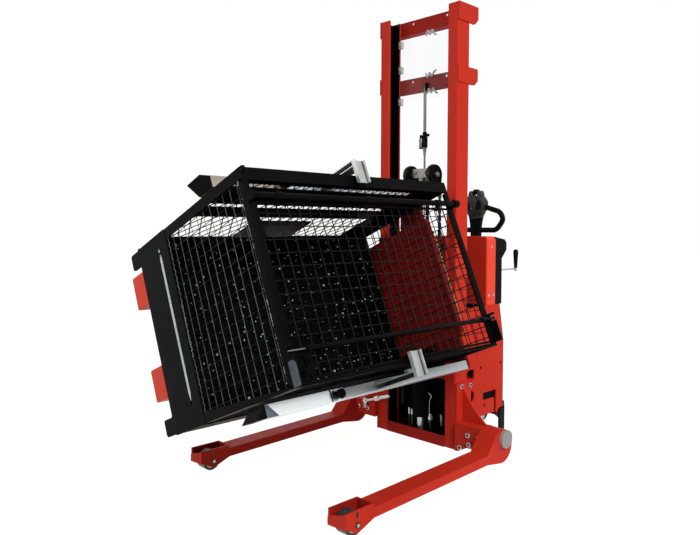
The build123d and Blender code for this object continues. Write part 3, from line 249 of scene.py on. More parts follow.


# finishes: patchy colour, fine grain in the bump, uneven gloss and specks: worn or dusty spots on
# most, painted highlights on the rim edges and the tiller head

usualLook = dict(metal=0.0, specular=0.5, stretch=(1, 1, 1), patch=4.0, grain=600.0, bump=0.06,
    speck=None)
noiseLook = dict(patch=(4, 0.55), grain=(3, 0.6), speck=(6, 0.7), gloss=(5, 0.55),
    patchBand=(0.3, 0.72), glossBand=(0.3, 0.7), glossScale=30.0, bumpDepth=0.0006)

# slot, colour, colour of the darker patches, range of roughness, and what differs from usualLook;
# a speck has its scale, where it sets in and is full, and its colour
finishLook = dict(
    redPaint=("red_paint", (0.64, 0.036, 0.016), (0.56, 0.026, 0.012), (0.34, 0.48),
        dict(grain=420.0, bump=0.05, specular=0.07, patch=3.0,
             speck=(55.0, 0.70, 0.78, (0.38, 0.019, 0.011)))),
    # a lighter copy of the red paint: painted light on the cage feet and the side faces of the
    # cover
    litRed=("red_paint", (0.95, 0.085, 0.040), (0.84, 0.065, 0.030), (0.34, 0.48),
        dict(grain=420.0, bump=0.05, specular=0.1, patch=6.0)),
    # a darker copy of the red paint: painted shade on red parts that lie in shadow
    shadedRed=("red_paint", (0.39, 0.019, 0.011), (0.31, 0.013, 0.008), (0.36, 0.5),
        dict(grain=420.0, bump=0.05, specular=0.05, patch=3.0,
             speck=(55.0, 0.68, 0.78, (0.20, 0.010, 0.007)))),
    blackPaint=("black_paint", (0.0045, 0.0046, 0.0050), (0.0022, 0.0022, 0.0025), (0.32, 0.48),
        dict(grain=900.0, bump=0.08, specular=0.022,
             speck=(90.0, 0.70, 0.8, (0.02, 0.02, 0.02)))),
    wireBlack=("black_paint", (0.012, 0.012, 0.013), (0.005, 0.005, 0.005), (0.25, 0.4),
        dict(grain=900.0, bump=0.05, specular=0.06)),
    # a lighter grey copy of the black wire: painted highlight on the front mesh levels and the
    # floor bead
    wireHighlight=("black_paint", (0.19, 0.20, 0.20), (0.04, 0.04, 0.04), (0.25, 0.4),
        dict(metal=0.4, patch=24.0, grain=900.0, bump=0.05, specular=0.2)),
    # dark with pale specks: a painted highlight along the rim edges
    paintedEdgeHighlight=("black_paint", (0.030, 0.030, 0.031), (0.012, 0.012, 0.012), (0.3, 0.5),
        dict(specular=0.1, speck=(26.0, 0.50, 0.60, (0.42, 0.42, 0.41)))),
    sheetBlack=("black_paint", (0.004, 0.004, 0.0045), (0.002, 0.002, 0.002), (0.34, 0.5),
        dict(grain=900.0, specular=0.02)),
    # a black that reflects almost nothing: painted shade for the lower wall and the sheet behind it
    shadowBlack=("black_paint", (0.004, 0.004, 0.0045), (0.002, 0.002, 0.002), (0.5, 0.7),
        dict(grain=900.0, specular=0.004)),
    brightSteel=("bright_steel", (0.56, 0.56, 0.56), (0.40, 0.40, 0.40), (0.24, 0.38),
        dict(metal=1.0, stretch=(1, 1, 6), grain=300.0, bump=0.05)),
    dullSteel=("bright_steel", (0.23, 0.225, 0.22), (0.13, 0.128, 0.125), (0.32, 0.48),
        dict(metal=0.7, patch=16.0, grain=400.0)),
    # dark oiled steel; on the hook liners, fork slots and screw sockets it is painted shade
    oiledSteelAndShade=("bright_steel", (0.060, 0.058, 0.056), (0.022, 0.021, 0.020), (0.28, 0.42),
        dict(metal=1.0, patch=20.0, grain=500.0)),
    zincSilver=("zinc_silver", (0.58, 0.62, 0.63), (0.47, 0.51, 0.52), (0.30, 0.44),
        dict(metal=0.6, stretch=(1, 0.2, 1), patch=9.0, grain=260.0, bump=0.05)),
    sleeveAlloy=("zinc_silver", (0.93, 0.985, 0.985), (0.88, 0.95, 0.95), (0.24, 0.33),
        dict(metal=1.0, stretch=(1, 0.2, 1), patch=9.0, grain=260.0, bump=0.04,
             specular=0.4)),
    hookAlloy=("zinc_silver", (0.54, 0.56, 0.55), (0.38, 0.39, 0.38), (0.34, 0.46),
        dict(metal=0.7, patch=14.0, grain=300.0)),
    # a darker, tan copy of the sleeve alloy: painted shade with a painted warm reflection on the
    # right sleeve
    tanAlloy=("zinc_silver", (0.49, 0.43, 0.35), (0.34, 0.29, 0.23), (0.34, 0.46),
        dict(metal=0.6, stretch=(1, 0.2, 1), patch=14.0, grain=300.0)),
    # painted bluish shade for the sloped front end of the left sleeve
    blueZinc=("zinc_silver", (0.19, 0.235, 0.265), (0.11, 0.14, 0.16), (0.34, 0.5),
        dict(metal=0.4, patch=18.0, grain=300.0, bump=0.05)),
    darkZinc=("zinc_silver", (0.075, 0.085, 0.105), (0.030, 0.035, 0.045), (0.34, 0.5),
        dict(metal=0.4, patch=26.0, grain=300.0, bump=0.05)),
    paleBead=("zinc_silver", (0.80, 0.90, 0.94), (0.55, 0.64, 0.69), (0.35, 0.5),
        dict(patch=22.0, specular=0.3)),
    # a warm bright tone: painted highlight along the rear edge
    warmHighlight=("zinc_silver", (0.90, 0.70, 0.46), (0.50, 0.24, 0.13), (0.35, 0.5),
        dict(patch=30.0, specular=0.2)),
    chromedRod=("chromed_rod", (0.80, 0.80, 0.82), (0.74, 0.74, 0.76), (0.06, 0.14),
        dict(metal=1.0, bump=0.02)),
    blackPlastic=("black_plastic", (0.006, 0.006, 0.006), (0.003, 0.003, 0.003), (0.40, 0.56),
        dict(grain=1400.0, bump=0.15, specular=0.035)),
    # dark plastic whose pale specks are painted highlights
    greyPlastic=("grey_plastic", (0.060, 0.058, 0.056), (0.008, 0.008, 0.008), (0.35, 0.5),
        dict(grain=1200.0, bump=0.12, specular=0.1, patch=34.0,
             speck=(70.0, 0.62, 0.70, (0.30, 0.29, 0.28)))),
    capPlastic=("cap_plastic", (0.37, 0.34, 0.335), (0.30, 0.275, 0.27), (0.4, 0.55),
        dict(grain=900.0, specular=0.15)),
    palePlastic=("cap_plastic", (0.62, 0.61, 0.59), (0.52, 0.51, 0.50), (0.4, 0.55),
        dict(grain=900.0, specular=0.3)),
    matRubber=("mat_rubber", (0.0022, 0.0022, 0.0025), (0.001, 0.001, 0.001), (0.16, 0.28),
        dict(grain=500.0, bump=0.1, specular=0.03)),
    # pale caps on the studs: painted highlights
    highlightRubber=("mat_rubber", (0.60, 0.61, 0.62), (0.05, 0.05, 0.05), (0.3, 0.5),
        dict(grain=500.0, patch=26.0, bump=0.1, specular=0.2)),
    rollerPlastic=("roller_plastic", (0.075, 0.070, 0.068), (0.035, 0.033, 0.032), (0.22, 0.36),
        dict(grain=300.0, bump=0.05, specular=0.3,
             speck=(40.0, 0.62, 0.75, (0.20, 0.18, 0.15)))),
    driveTyre=("drive_tyre", (0.028, 0.027, 0.026), (0.016, 0.016, 0.016), (0.55, 0.75),
        dict(grain=700.0, bump=0.2, specular=0.2)),
)


def startMaterial(name, slotName):
    finish = bpy.data.materials.new(name)
    finish.use_nodes = True
    finish["slotName"] = slotName
    return finish.node_tree, finish.node_tree.nodes["Principled BSDF"].inputs


def newFinish(name, slotName, color, dark, rough, changes):
    look = usualLook | changes
    tree, shader = startMaterial(name, slotName)
    shader["Metallic"].default_value = look["metal"]
    shader["Specular IOR Level"].default_value = look["specular"]
    where = addNode(tree, "TexCoord", {}, {})
    stretch = addNode(tree, "Mapping", {"Scale": look["stretch"]},
                      {"Vector": where.outputs["Object"]})

    def noise(kind, scale):
        detail, roughness = noiseLook[kind]
        values = {"Scale": scale, "Detail": detail, "Roughness": roughness}
        cloud = addNode(tree, "TexNoise", values, {"Vector": stretch.outputs["Vector"]})
        return cloud.outputs["Fac"]

    def ramp(source, positions, colors):
        band = addNode(tree, "ValToRGB", {}, {"Fac": source})
        for stop, position, tone in zip(band.color_ramp.elements, positions, colors):
            stop.position, stop.color = position, (*tone, 1)
        return band.outputs["Color"]

    mixed = ramp(noise("patch", look["patch"]), noiseLook["patchBand"], (dark, color))
    if look["speck"]:
        scale, setIn, full, tone = look["speck"]
        fleck = ramp(noise("speck", scale), (setIn, full), ((0, 0, 0), (1, 1, 1)))
        mix = addNode(tree, "Mix", {7: (*tone, 1)}, {0: fleck, 6: mixed}, data_type="RGBA")
        mixed = mix.outputs[2]
    low, high = noiseLook["glossBand"]
    values = {"From Min": low, "From Max": high, "To Min": rough[0], "To Max": rough[1]}
    gloss = addNode(tree, "MapRange", values, {"Value": noise("gloss", noiseLook["glossScale"])})
    bump = addNode(tree, "Bump", {"Strength": look["bump"], "Distance": noiseLook["bumpDepth"]},
                   {"Height": noise("grain", look["grain"])})
    tree.links.new(mixed, shader["Base Color"])
    tree.links.new(gloss.outputs["Result"], shader["Roughness"])
    tree.links.new(bump.outputs["Normal"], shader["Normal"])


for name, look in finishLook.items():
    newFinish(name, *look)

clearLook = dict(color=(0.97, 0.98, 0.98, 1), ior=1.49, alpha=0.05, hazeScale=14.0,
    rough=(0.02, 0.12))
tree, shader = startMaterial("clearSheet", "clear_plastic")
shader["Base Color"].default_value = clearLook["color"]
shader["IOR"].default_value = clearLook["ior"]
shader["Alpha"].default_value = clearLook["alpha"]
haze = addNode(tree, "TexNoise", {"Scale": clearLook["hazeScale"]}, {})  # faint wiping marks
low, high = clearLook["rough"]
hazeLevel = addNode(tree, "MapRange", {"To Min": low, "To Max": high},
                    {"Value": haze.outputs["Fac"]})
tree.links.new(hazeLevel.outputs["Result"], shader["Roughness"])
print("stage: finishes ready")

# CAD pieces that keep their own shape: a finish each, and softened edges on most

nodeFinish = dict(
    redPaint=["mast_uprights", "mast_beams", "base_beam", "leg_left", "leg_right", "side_panels",
              "deck_plate", "body_cover"],
    # rotator plate and carriage frame in the darker red: painted shade from the cage
    shadedRed=["rotator_plate", "carriage_frame"],
    blackPaint=["rear_skirt", "lower_rear_cover", "hydraulic_unit", "lift_cylinder", "steer_head",
                "slew_ring_fixed", "tip_gearbox", "base_end_plates", "gate_hinge_tube"],
    brightSteel=["cylinder_foot", "guide_rollers_upper", "guide_rollers_lower", "slew_ring_turning",
                 "castor_fork_left", "castor_fork_right"],
    zincSilver=["forks"],
    chromedRod=["piston_rod"],
    blackPlastic=["rear_panel", "battery"],
    capPlastic=["hub_caps"],
    clearSheet=["guard_screen"],
)
edgeLook = dict(plain=("mast_beams", "guard_screen"), soft=1.4, free=dict(mast_uprights=6.0),
    clamped=dict(hub_caps=3.5, leg_left=2.6, leg_right=2.6, rear_panel=5.0, body_cover=4.0,
                 side_panels=1.8))
edgeWidths = edgeLook["free"] | edgeLook["clamped"]
for coat, names in nodeFinish.items():
    for name in names:
        piece = nodes[name]
        piece.data.materials.clear()
        piece.data.materials.append(bpy.data.materials[coat])
        if name in edgeLook["plain"]:
            continue
        joinUp = piece.modifiers.new("joinUp", "WELD")
        joinUp.merge_threshold = 0.00002
        softEdge = piece.modifiers.new("softEdge", "BEVEL")
        softEdge.width, softEdge.segments = edgeWidths.get(name, edgeLook["soft"]) * mm, 2
        softEdge.limit_method, softEdge.angle_limit = "ANGLE", math.radians(35)
        softEdge.use_clamp_overlap = name in edgeLook["clamped"]
        evenOut = piece.modifiers.new("evenOut", "WEIGHTED_NORMAL")
        evenOut.mode, evenOut.weight, evenOut.keep_sharp = "FACE_AREA", 90, True
        piece.data.polygons.foreach_set("use_smooth", [True] * len(piece.data.polygons))


def paintFaces(name, coat, chosen):
    mesh = nodes[name].data
    mesh.materials.append(bpy.data.materials[coat])
    for face in mesh.polygons:
        if chosen(face.center / mm, face.normal):
            face.material_index = len(mesh.materials) - 1


# black inside the channels of the uprights; painted shade in black on the inner faces of the deck
# and base beam and in darker red on the base beam front, wheel-box walls and beam fronts; painted
# light in lighter red on the cover sides
paintFaces("mast_uprights", "blackPaint",
           lambda p, n: abs(p.x) < 222 and 11 < p.y < 72 and 45 < p.z < 1975)
# painted shade: the deck faces below its top are black
paintFaces("deck_plate", "blackPaint", lambda p, n: p.z < 319)
# painted shade: the top and the rear inner wall of the base beam are black
paintFaces("base_beam", "blackPaint", lambda p, n: n.z > 0.5 or (n.y < -0.5 and p.y > 10))
# painted shade: the front of the base beam in the darker red
paintFaces("base_beam", "shadedRed", lambda p, n: n.y < -0.5 and p.y <= 10)
# painted light: the side faces of the cover take the lighter copy of the red
paintFaces("body_cover", "litRed", lambda p, n: abs(n.x) > 0.7)
for name in ("leg_left", "leg_right"):  # walls of the wheel boxes, in painted shade
    paintFaces(name, "shadedRed", lambda p, n: 387 < abs(p.x) < 465 and -876 < p.y < -745)
# painted shade: the fronts of the beams between the uprights in the darker red
paintFaces("mast_beams", "shadedRed", lambda p, n: n.y < -0.5 and 80 < p.y < 95)
print("stage: CAD pieces finished")

# cage frame: corner angles, flat rim, keepers of the lock bar and eyes of the hinge tube

frameLook = dict(post=38, plate=5, taper=346, rimLip=381, rimAcross=(-340, 308), endRim=22,
    keeper=(-339, -225), keeperTop=443, keeperPlate=8, lockAcross=-245, notch=11, eyeAcross=248,
    eyeRadius=16.5, eyeFoot=18, eyePlate=10)
post, plate, top, gap = pick(frameLook, "post plate keeperTop notch")
(a0, a1), (rimLow, rimHigh) = frameLook["keeper"], frameLook["rimAcross"]
lock, eye, foot = pick(frameLook, "lockAcross eyeAcross eyeFoot")
keeper = [(a0, rimTop), (a0, top - 4), (a0 + 4, top), (lock - gap, top),
          *arc((lock, barHeight), gap, 180, 180, 8),
          (lock + gap, top), (a1 - 3, top), (a1, top - 3), (a1, rimTop)]
lug = [(eye + foot, rimTop), *arc((eye, barHeight), frameLook["eyeRadius"], -35, 250, 18),
       (eye - foot, rimTop)]
for end, inward in cageEnds:
    for side in (-1, 1):
        wide = cageHalf - post
        narrow = frameLook["taper"] if side < 0 else wide  # the lower angles taper towards the rim
        angle = [(cageHalf, floorTop), (cageHalf, cageRim), (narrow, cageRim), (wide, floorTop)]
        addPrism(mirrored(side, angle), 1, (end, end + inward * plate))
        addBox(sideways(side, cageHalf, cageHalf - plate),
               (end + inward * plate, end + inward * post), (floorTop, cageRim))
    addBox((rimLow, rimHigh), (end, end + inward * frameLook["endRim"]), (cageRim, rimTop))
    addBox((rimLow, rimHigh), (end, end + inward * plate), (frameLook["rimLip"], cageRim))
    addPrism(keeper, 1, (end, end + inward * frameLook["keeperPlate"]))
    addPrism(lug, 1, (end, end + inward * frameLook["eyePlate"]))
for across in ((rimHigh, cageHalf), (-cageHalf, rimLow)):
    addBox(across, (cageFront, cageRear), (cageRim, rimTop))
makePiece("cageFrame", "tipper", "blackPaint", ["cage_frame"], bevel=0.8)

# thin tubes along the rim edges: a painted highlight
rimHighlightLook = dict(front=((314, -1122.2, 383), (-335, -1122.2, 383), 1.3),
    side=((352.4, -1118, 406.5), (352.4, -104, 406.5), 0.9))
for start, end, radius in rimHighlightLook.values():  # edges of the rim with a painted highlight
    addTube([start, end], radius, 6)
makePiece("rimHighlights", "tipper", "paintedEdgeHighlight")

# wire meshes at the two ends of the cage

meshLook = dict(wire=2.6, levelWire=1.976, rearWire=4.0, pitch=44.6, levelPitch=42.8, lowest=-65.5,
    levels=11, columns=15, halfWidth=344, bottom=-101, columnInset=10.6, levelInset=7.4)
for (end, inward), wire in zip(cageEnds, (meshLook["wire"], meshLook["rearWire"])):
    y = end + inward * meshLook["columnInset"]
    for k in range(meshLook["columns"]):
        across = (k - (meshLook["columns"] - 1) / 2) * meshLook["pitch"]
        addTube([(across, y, meshLook["bottom"]), (across, y, cageRim)], wire / 2, 6)
makePiece("endMeshes", "tipper", "wireBlack", ["cage_end_meshes"])
# the front levels take the lighter grey: painted highlight; the rear levels stay black
for (end, inward), name, wire, coat in zip(
        cageEnds, ("frontMeshLevels", "rearMeshLevels"),
        (meshLook["levelWire"], meshLook["rearWire"]), ("wireHighlight", "wireBlack")):
    y, half = end + inward * meshLook["levelInset"], meshLook["halfWidth"]
    for k in range(meshLook["levels"]):
        level = meshLook["lowest"] + k * meshLook["levelPitch"]
        addTube([(-half, y, level), (half, y, level)], wire / 2, 6)
    makePiece(name, "tipper", coat)

# expanded-metal side walls with stays, kick plates and ledges; a black sheet behind the lower one
# is painted shade

wallLook = dict(alongPitch=44.0, upPitch=90.0, strand=3.6, sheet=2.2, middle=348.5,
    along=(-1117, -105), bottom=-174, top=404, stayAcross=(341, 347),
    stays=((42, 119), (153, 284), (317, 365)), rearStay=(-213, -105), foot=-176, kick=(-795, -503),
    kickAcross=(344, 347.4), kickTop=-1, kickCorner=8, ledge=((320, 347), (-700, -146), (233, 241)),
    shadeSheet=(-348.9, -347.4))
halfUp, halfAlong = wallLook["upPitch"] / 2, wallLook["alongPitch"] / 2
start, end = wallLook["along"]
rows = int((wallLook["top"] - wallLook["bottom"]) / halfUp)
steps = int((end - start) / halfAlong)
front, rear = wallLook["kick"]
foot, top, cut = pick(wallLook, "foot kickTop kickCorner")
kick = [(front, foot), (front, top - cut), (front + cut, top), (rear - cut, top), (rear, top - cut),
        (rear, foot)]
# the lower wall takes the black that reflects almost nothing: painted shade
for side, name, coat, replaced in ((-1, "sideWallLeft", "shadowBlack", ["cage_side_walls"]),
                                   (1, "sideWallRight", "sheetBlack", [])):
    for i in range(rows):
        path = [(side * wallLook["middle"], start + j * halfAlong,
                 wallLook["bottom"] + halfUp * (i + (i + j) % 2)) for j in range(steps + 1)]
        addBand(path, alongX, wallLook["strand"], wallLook["sheet"])
    stay = sideways(side, *wallLook["stayAcross"])
    for up in wallLook["stays"]:
        addBox(stay, wallLook["along"], up)
    addPrism(kick, 0, sideways(side, *wallLook["kickAcross"]))
    addBox(stay, wallLook["rearStay"], (foot, cageRim))
    across, along, up = wallLook["ledge"]  # over the fork
    addBox(sideways(side, *across), along, up)
    makePiece(name, "tipper", coat, replaced)
# a black sheet behind the lower wall: painted shade
addBox(wallLook["shadeSheet"], wallLook["along"], (wallLook["bottom"], cageRim))
makePiece("lowerShadeSheet", "tipper", "shadowBlack")

# base tray: floor plate, side rails, bearers and ribs

trayLook = dict(half=318, along=(-1114, -108), under=-107, lip=-128, lipPlate=4, bottom=-320,
    railTop=-176, rail=348, bearerSpread=366, bearer=50, wall=4, ribs=(-1000, -611, -222), rib=3,
    ribAcross=(348, 233), ribUp=(-300, -190))
half, along, under, bottom = pick(trayLook, "half along under bottom")
outer, inner = trayLook["bearer"], trayLook["bearer"] - trayLook["wall"]
addBox((-half, half), along, (under, floorTop))
addPair((half, half - trayLook["lipPlate"]), along, (trayLook["lip"], under))
addPair((cageHalf, trayLook["rail"]), along, (bottom, trayLook["railTop"]))
middle, rib = trayLook["bearerSpread"] / 2, trayLook["rib"]
for a0, a1, top in ((-outer, -inner, under), (inner, outer, under),
                    (-inner, inner, bottom + trayLook["wall"])):
    addPair((middle + a0, middle + a1), along, (bottom, top))
for y in trayLook["ribs"]:
    addPair(trayLook["ribAcross"], (y - rib, y + rib), trayLook["ribUp"])
makePiece("baseTray", "tipper", "blackPaint", ["base_tray"], bevel=0.6)

# red feet under the bearers

footLook = dict(across=((141, 269), (-218, -96)), along=((-1121, -964), (-258, -101)), top=-320,
    bottom=-412, corner=4)
b0, b1, cut = pick(footLook, "bottom top corner")
for a0, a1 in footLook["across"]:
    outline = [(a0, b1), (a0, b0 + cut), (a0 + cut, b0), (a1 - cut, b0), (a1, b0 + cut), (a1, b1)]
    for along in footLook["along"]:
        addPrism(outline, 1, along)
# the feet take the lighter copy of the red: painted light
makePiece("cageFeet", "tipper", "litRed", ["cage_feet"], bevel=3.0)

# floor mat with its domed studs, about half of them with pale caps that are painted highlights

matLook = dict(half=317, along=(-1112, -110), top=-99, sunk=0.2, pitch=33.0, field=(630, 990),
    spread=14.0, reach=302, reachAlong=(-1096, -126), studRadius=13.0, studHeight=9.0,
    highlightShare=0.5, seed=5)
random.seed(matLook["seed"])
pitch, spread, reach = pick(matLook, "pitch spread reach")
front, rear = matLook["reachAlong"]
columns, rows = (int(size / pitch) for size in matLook["field"])
highlightTips = []
addBox((-matLook["half"], matLook["half"]), matLook["along"], (floorTop, matLook["top"]))
for i in range(columns):
    for j in range(rows):
        across = (i - (columns - 1) / 2) * pitch + random.uniform(-1, 1) * spread
        along = cageMiddle + (j - (rows - 1) / 2) * pitch + random.uniform(-1, 1) * spread
        across, along = max(-reach, min(reach, across)), max(front, min(rear, along))
        r = matLook["studRadius"] * random.uniform(0.6, 1.15)
        h = matLook["studHeight"] * random.uniform(0.7, 1.0)
        at = (across, along, matLook["top"] - matLook["sunk"])
        dome = [(h * math.sin(t), r * math.cos(t)) for t in (0, 0.45, 0.85, 1.2)]
        addTurned([*dome, (h, 0)], at, alongZ, 10)
        if random.random() < matLook["highlightShare"]:
            highlightTips.append((at, h, r * random.uniform(0.16, 0.42)))
makePiece("studMat", "tipper", "matRubber", ["stud_mat"], sharp=60)
# pale caps on the studs: painted highlights
for at, h, cap in highlightTips:
    addTurned([(h - 1.2, cap), (h + 0.3, cap * 0.7), (h + 0.5, 0)], at, alongZ, 8)
makePiece("studHighlights", "tipper", "highlightRubber", sharp=60)

# gate: frame with a recess that clears the hook, wires, knuckles and lock bar

gateLook = dict(across=(-337, 236), along=(-1098, -124), bar=8, plate=6, middleBar=(-252, -240),
    hookGap=(-648, -574), hookSetback=-304, latchSeat=5, wire=3.5, pitch=44.6, firstAlong=-162,
    alongCount=21, firstAcross=-290, acrossCount=12, crossDrop=1.6, wireDrop=4.8, wireInset=2,
    knuckles=(-1011, cageMiddle, -211), hinge=248, lockBar=7.5, lockAt=-246, collars=(-1050, -172))
low, high = gateLook["across"]
front, rear = gateLook["along"]
bar, inset, reach = pick(gateLook, "bar hookSetback wireInset")
gapFront, gapRear = gateLook["hookGap"]
for across, along in (
        ((low, low + bar), (front, gapFront)), ((low, low + bar), (gapRear, rear)),
        ((low + bar, inset + bar), (gapFront - bar, gapFront)),
        ((low + bar, inset + bar), (gapRear, gapRear + bar)),
        ((inset, inset + bar), (gapFront, gapRear)), ((high - bar, high), (front, rear)),
        ((low + bar, high - bar), (front, front + bar)),
        ((low + bar, high - bar), (rear - bar, rear)),
        (gateLook["middleBar"], (front + bar, rear - bar))):
    addBox(across, along, (cageRim, cageRim + gateLook["plate"]))
addPrism([(-300, -1066), (-300, -1034), (-268, -1034), (-262, -1040), (-262, -1066)], 2,
         (cageRim, cageRim + gateLook["latchSeat"]))
makePiece("gateFrame", "gate_body", "blackPaint", ["gate"], bevel=0.8)
for k in range(gateLook["alongCount"]):
    y, z = gateLook["firstAlong"] - k * gateLook["pitch"], cageRim - gateLook["crossDrop"]
    start = inset if gapFront < y < gapRear else low
    addTube([(start + reach, y, z), (high - reach, y, z)], gateLook["wire"] / 2, 6)
makePiece("gateCrossWires", "gate_body", "wireBlack")
for k in range(gateLook["acrossCount"]):
    a, z = gateLook["firstAcross"] + k * gateLook["pitch"], cageRim - gateLook["wireDrop"]
    addTube([(a, front + reach, z), (a, rear - reach, z)], gateLook["wire"] / 2, 6)
makePiece("gateWires", "gate_body", "wireBlack")
lockAt = (gateLook["lockAt"], 0, barHeight)
for y in gateLook["knuckles"]:
    addTurned([(-14, 11.1), (-14, 13), (-13, 14), (13, 14), (14, 13), (14, 11.1)],
              (gateLook["hinge"], y, barHeight), alongY, 24, closed=True)
    addPrism([(236, 422), (240, 430), (234, 404), (222, 404)], 1, (y - 11, y + 11))
    addPrism([(-254, rimTop), (-238, rimTop), (-240, 420), (-252, 420)], 1, (y - 9, y + 9))
addRod([(-1060, gateLook["lockBar"]), (-94, gateLook["lockBar"]), (-90, 6)], lockAt, alongY, 20)
for y in gateLook["collars"]:
    addTurned([(-9, 7.4), (-9, 10), (-7.5, 11), (7.5, 11), (9, 10), (9, 7.4)],
              (lockAt[0], y, barHeight), alongY, 20, closed=True)
makePiece("gateBarAndKnuckles", "gate_body", "blackPaint")
addRod([(-1126, 1.8), (-1124, 2.4), (-1059, 2.4)], lockAt, alongY, 20)
makePiece("lockBarEnd", "gate_body", "dullSteel")
addTurned([(0, 6), (10, 6), (10, 9), (13, 9), (15, 7), (15, 0)], (*latchPin, rimTop), alongZ, 16)
makePiece("gateLatchPin", "gate_body", "blackPaint")

# latch plate that turns on the pin, round at one end and cut off at the other

latchLook = dict(reach=48, half=13, up=(412, 418), cut=12, nose=6)
a, y = latchPin
reach, half, nose = pick(latchLook, "reach half nose")
shoulder = a + reach - latchLook["cut"]
addPrism([*arc((a - reach + half, y), half, 90, 180, 10), (shoulder, y - half),
          (a + reach, y - nose), (a + reach, y + nose), (shoulder, y + half)], 2, latchLook["up"])
makePiece("latchPlate", "latch_body", "blackPaint", ["gate_latch"], bevel=0.8)

# small parts on the cage frame: keeper plate, strip in the slot, zigzag beads whose colours are
# painted highlights, grey along the floor and warm at the rear, and corner points

smallLook = dict(
    keeper=((-351, -274), (409, 444)), keeperAlong=(-1123.2, cageFront),
    strip=(-262, 278), stripAlong=(-1122.8, -1121.6), beadThick=1.6,
    beads=dict(  # first spot, pitch, count, swing, width and finish
        # the grey floor bead and the warm rear bead are painted highlights
        floorBead=((-330, -1117.5, -96), 11.0, 61, 3.0, 2.4, "wireHighlight"),
        rearTie=((190, -106, 279), -9.5, 42, 4.6, 4.6, "warmHighlight")),
    corner=((352, rimTop), (330, rimTop), (333, 418), (345, 432), (352, 420)),
    cornerAlong=(cageFront, -1117))
(a0, a1), (b0, b1) = smallLook["keeper"]
addPrism([(a0, b0), (a0, b1 - 4), (a0 + 4, b1), (a1 - 10, b1), (a1, b1 - 10), (a1, b0)], 1,
         smallLook["keeperAlong"])
makePiece("keeperPlate", "tipper", "darkZinc")
a0, a1 = smallLook["strip"]
for outline in (
        [(a0, -166), (a0 + 26, -171), (a1 - 20, -172), (a1, -166), (a1 - 16, -160),
         (a0 + 30, -159)],
        [(285, -169), (290, -172), (299, -168), (293, -163)]):
    addPrism(outline, 1, smallLook["stripAlong"])
makePiece("slotStrip", "tipper", "paleBead")
for name, ((a, y, b), pitch, count, swing, width, coat) in smallLook["beads"].items():
    path = [(a + k * pitch, y, b + (swing if k % 2 else -swing)) for k in range(count)]
    addBand(path, alongY, width, smallLook["beadThick"])
    makePiece(name, "tipper", coat)
for side in (-1, 1):
    addPrism(mirrored(side, smallLook["corner"]), 1, smallLook["cornerAlong"])
makePiece("cornerPoints", "tipper", "blackPaint", bevel=0.6)

# hooks that reach from the forks over the rim, with painted shade in their channels

hookLook = dict(half=27.5, strut=(379, 403), rise=(231, 426), reach=314, top=443, web=431,
    plate=4.5, grime=3, shadeStripThick=0.8)
front, rear = cageMiddle - hookLook["half"], cageMiddle + hookLook["half"]
(inner, outer), (b0, b1) = hookLook["strut"], hookLook["rise"]
reach, web, t, grime = pick(hookLook, "reach web plate grime")
for a0, a1, y in ((inner, inner + t, front), (outer - t, outer, front),
                  (inner + t, outer - t, rear - t)):
    addPair((a0, a1), (y, rear), (b0, b1))
addPair((reach, outer), (front + t, rear - t), (web - t, web))
for y in (front, rear - t):
    addPair((reach, outer), (y, y + t), (b1, hookLook["top"]))
makePiece("cageHooks", "tipper", "hookAlloy", ["cage_hooks"], bevel=0.8)
# dark steel sheets and strips inside the channels: painted shade
addPair((inner + t, outer - t), (rear - t - 1, rear - t), (b0 + 2, b1))
for y in (front + t, rear - t - grime):
    addPair((reach + 2, outer - 1), (y, y + grime), (web, web + hookLook["shadeStripThick"]))
makePiece("hookShadeLiners", "tipper", "oiledSteelAndShade")

# forks: an adjusting slot with its clamp block and slide bar in each

forkLook = dict(slot=((371, 384), (-631, -415), (231.05, 231.5)),
    clamp=((352, 367), (-450, -414), (212, 230)), slide=((374, 381), (-628, -418), (231.4, 232.6)))
# each slot is a thin dark plate on the fork top: painted shade for the opening
addPair(*forkLook["slot"])
makePiece("forkSlots", "tipper", "oiledSteelAndShade")
addPair(*forkLook["clamp"])
addPair(*forkLook["slide"])
makePiece("forkClamps", "tipper", "zincSilver", bevel=0.8)

# sleeves that slide on the forks: square tube, wedge plug, end patch and cross strap; the end patch
# on the left is painted bluish shade, and the right sleeve is a darker, tan copy of the alloy:
# painted shade with a painted warm reflection

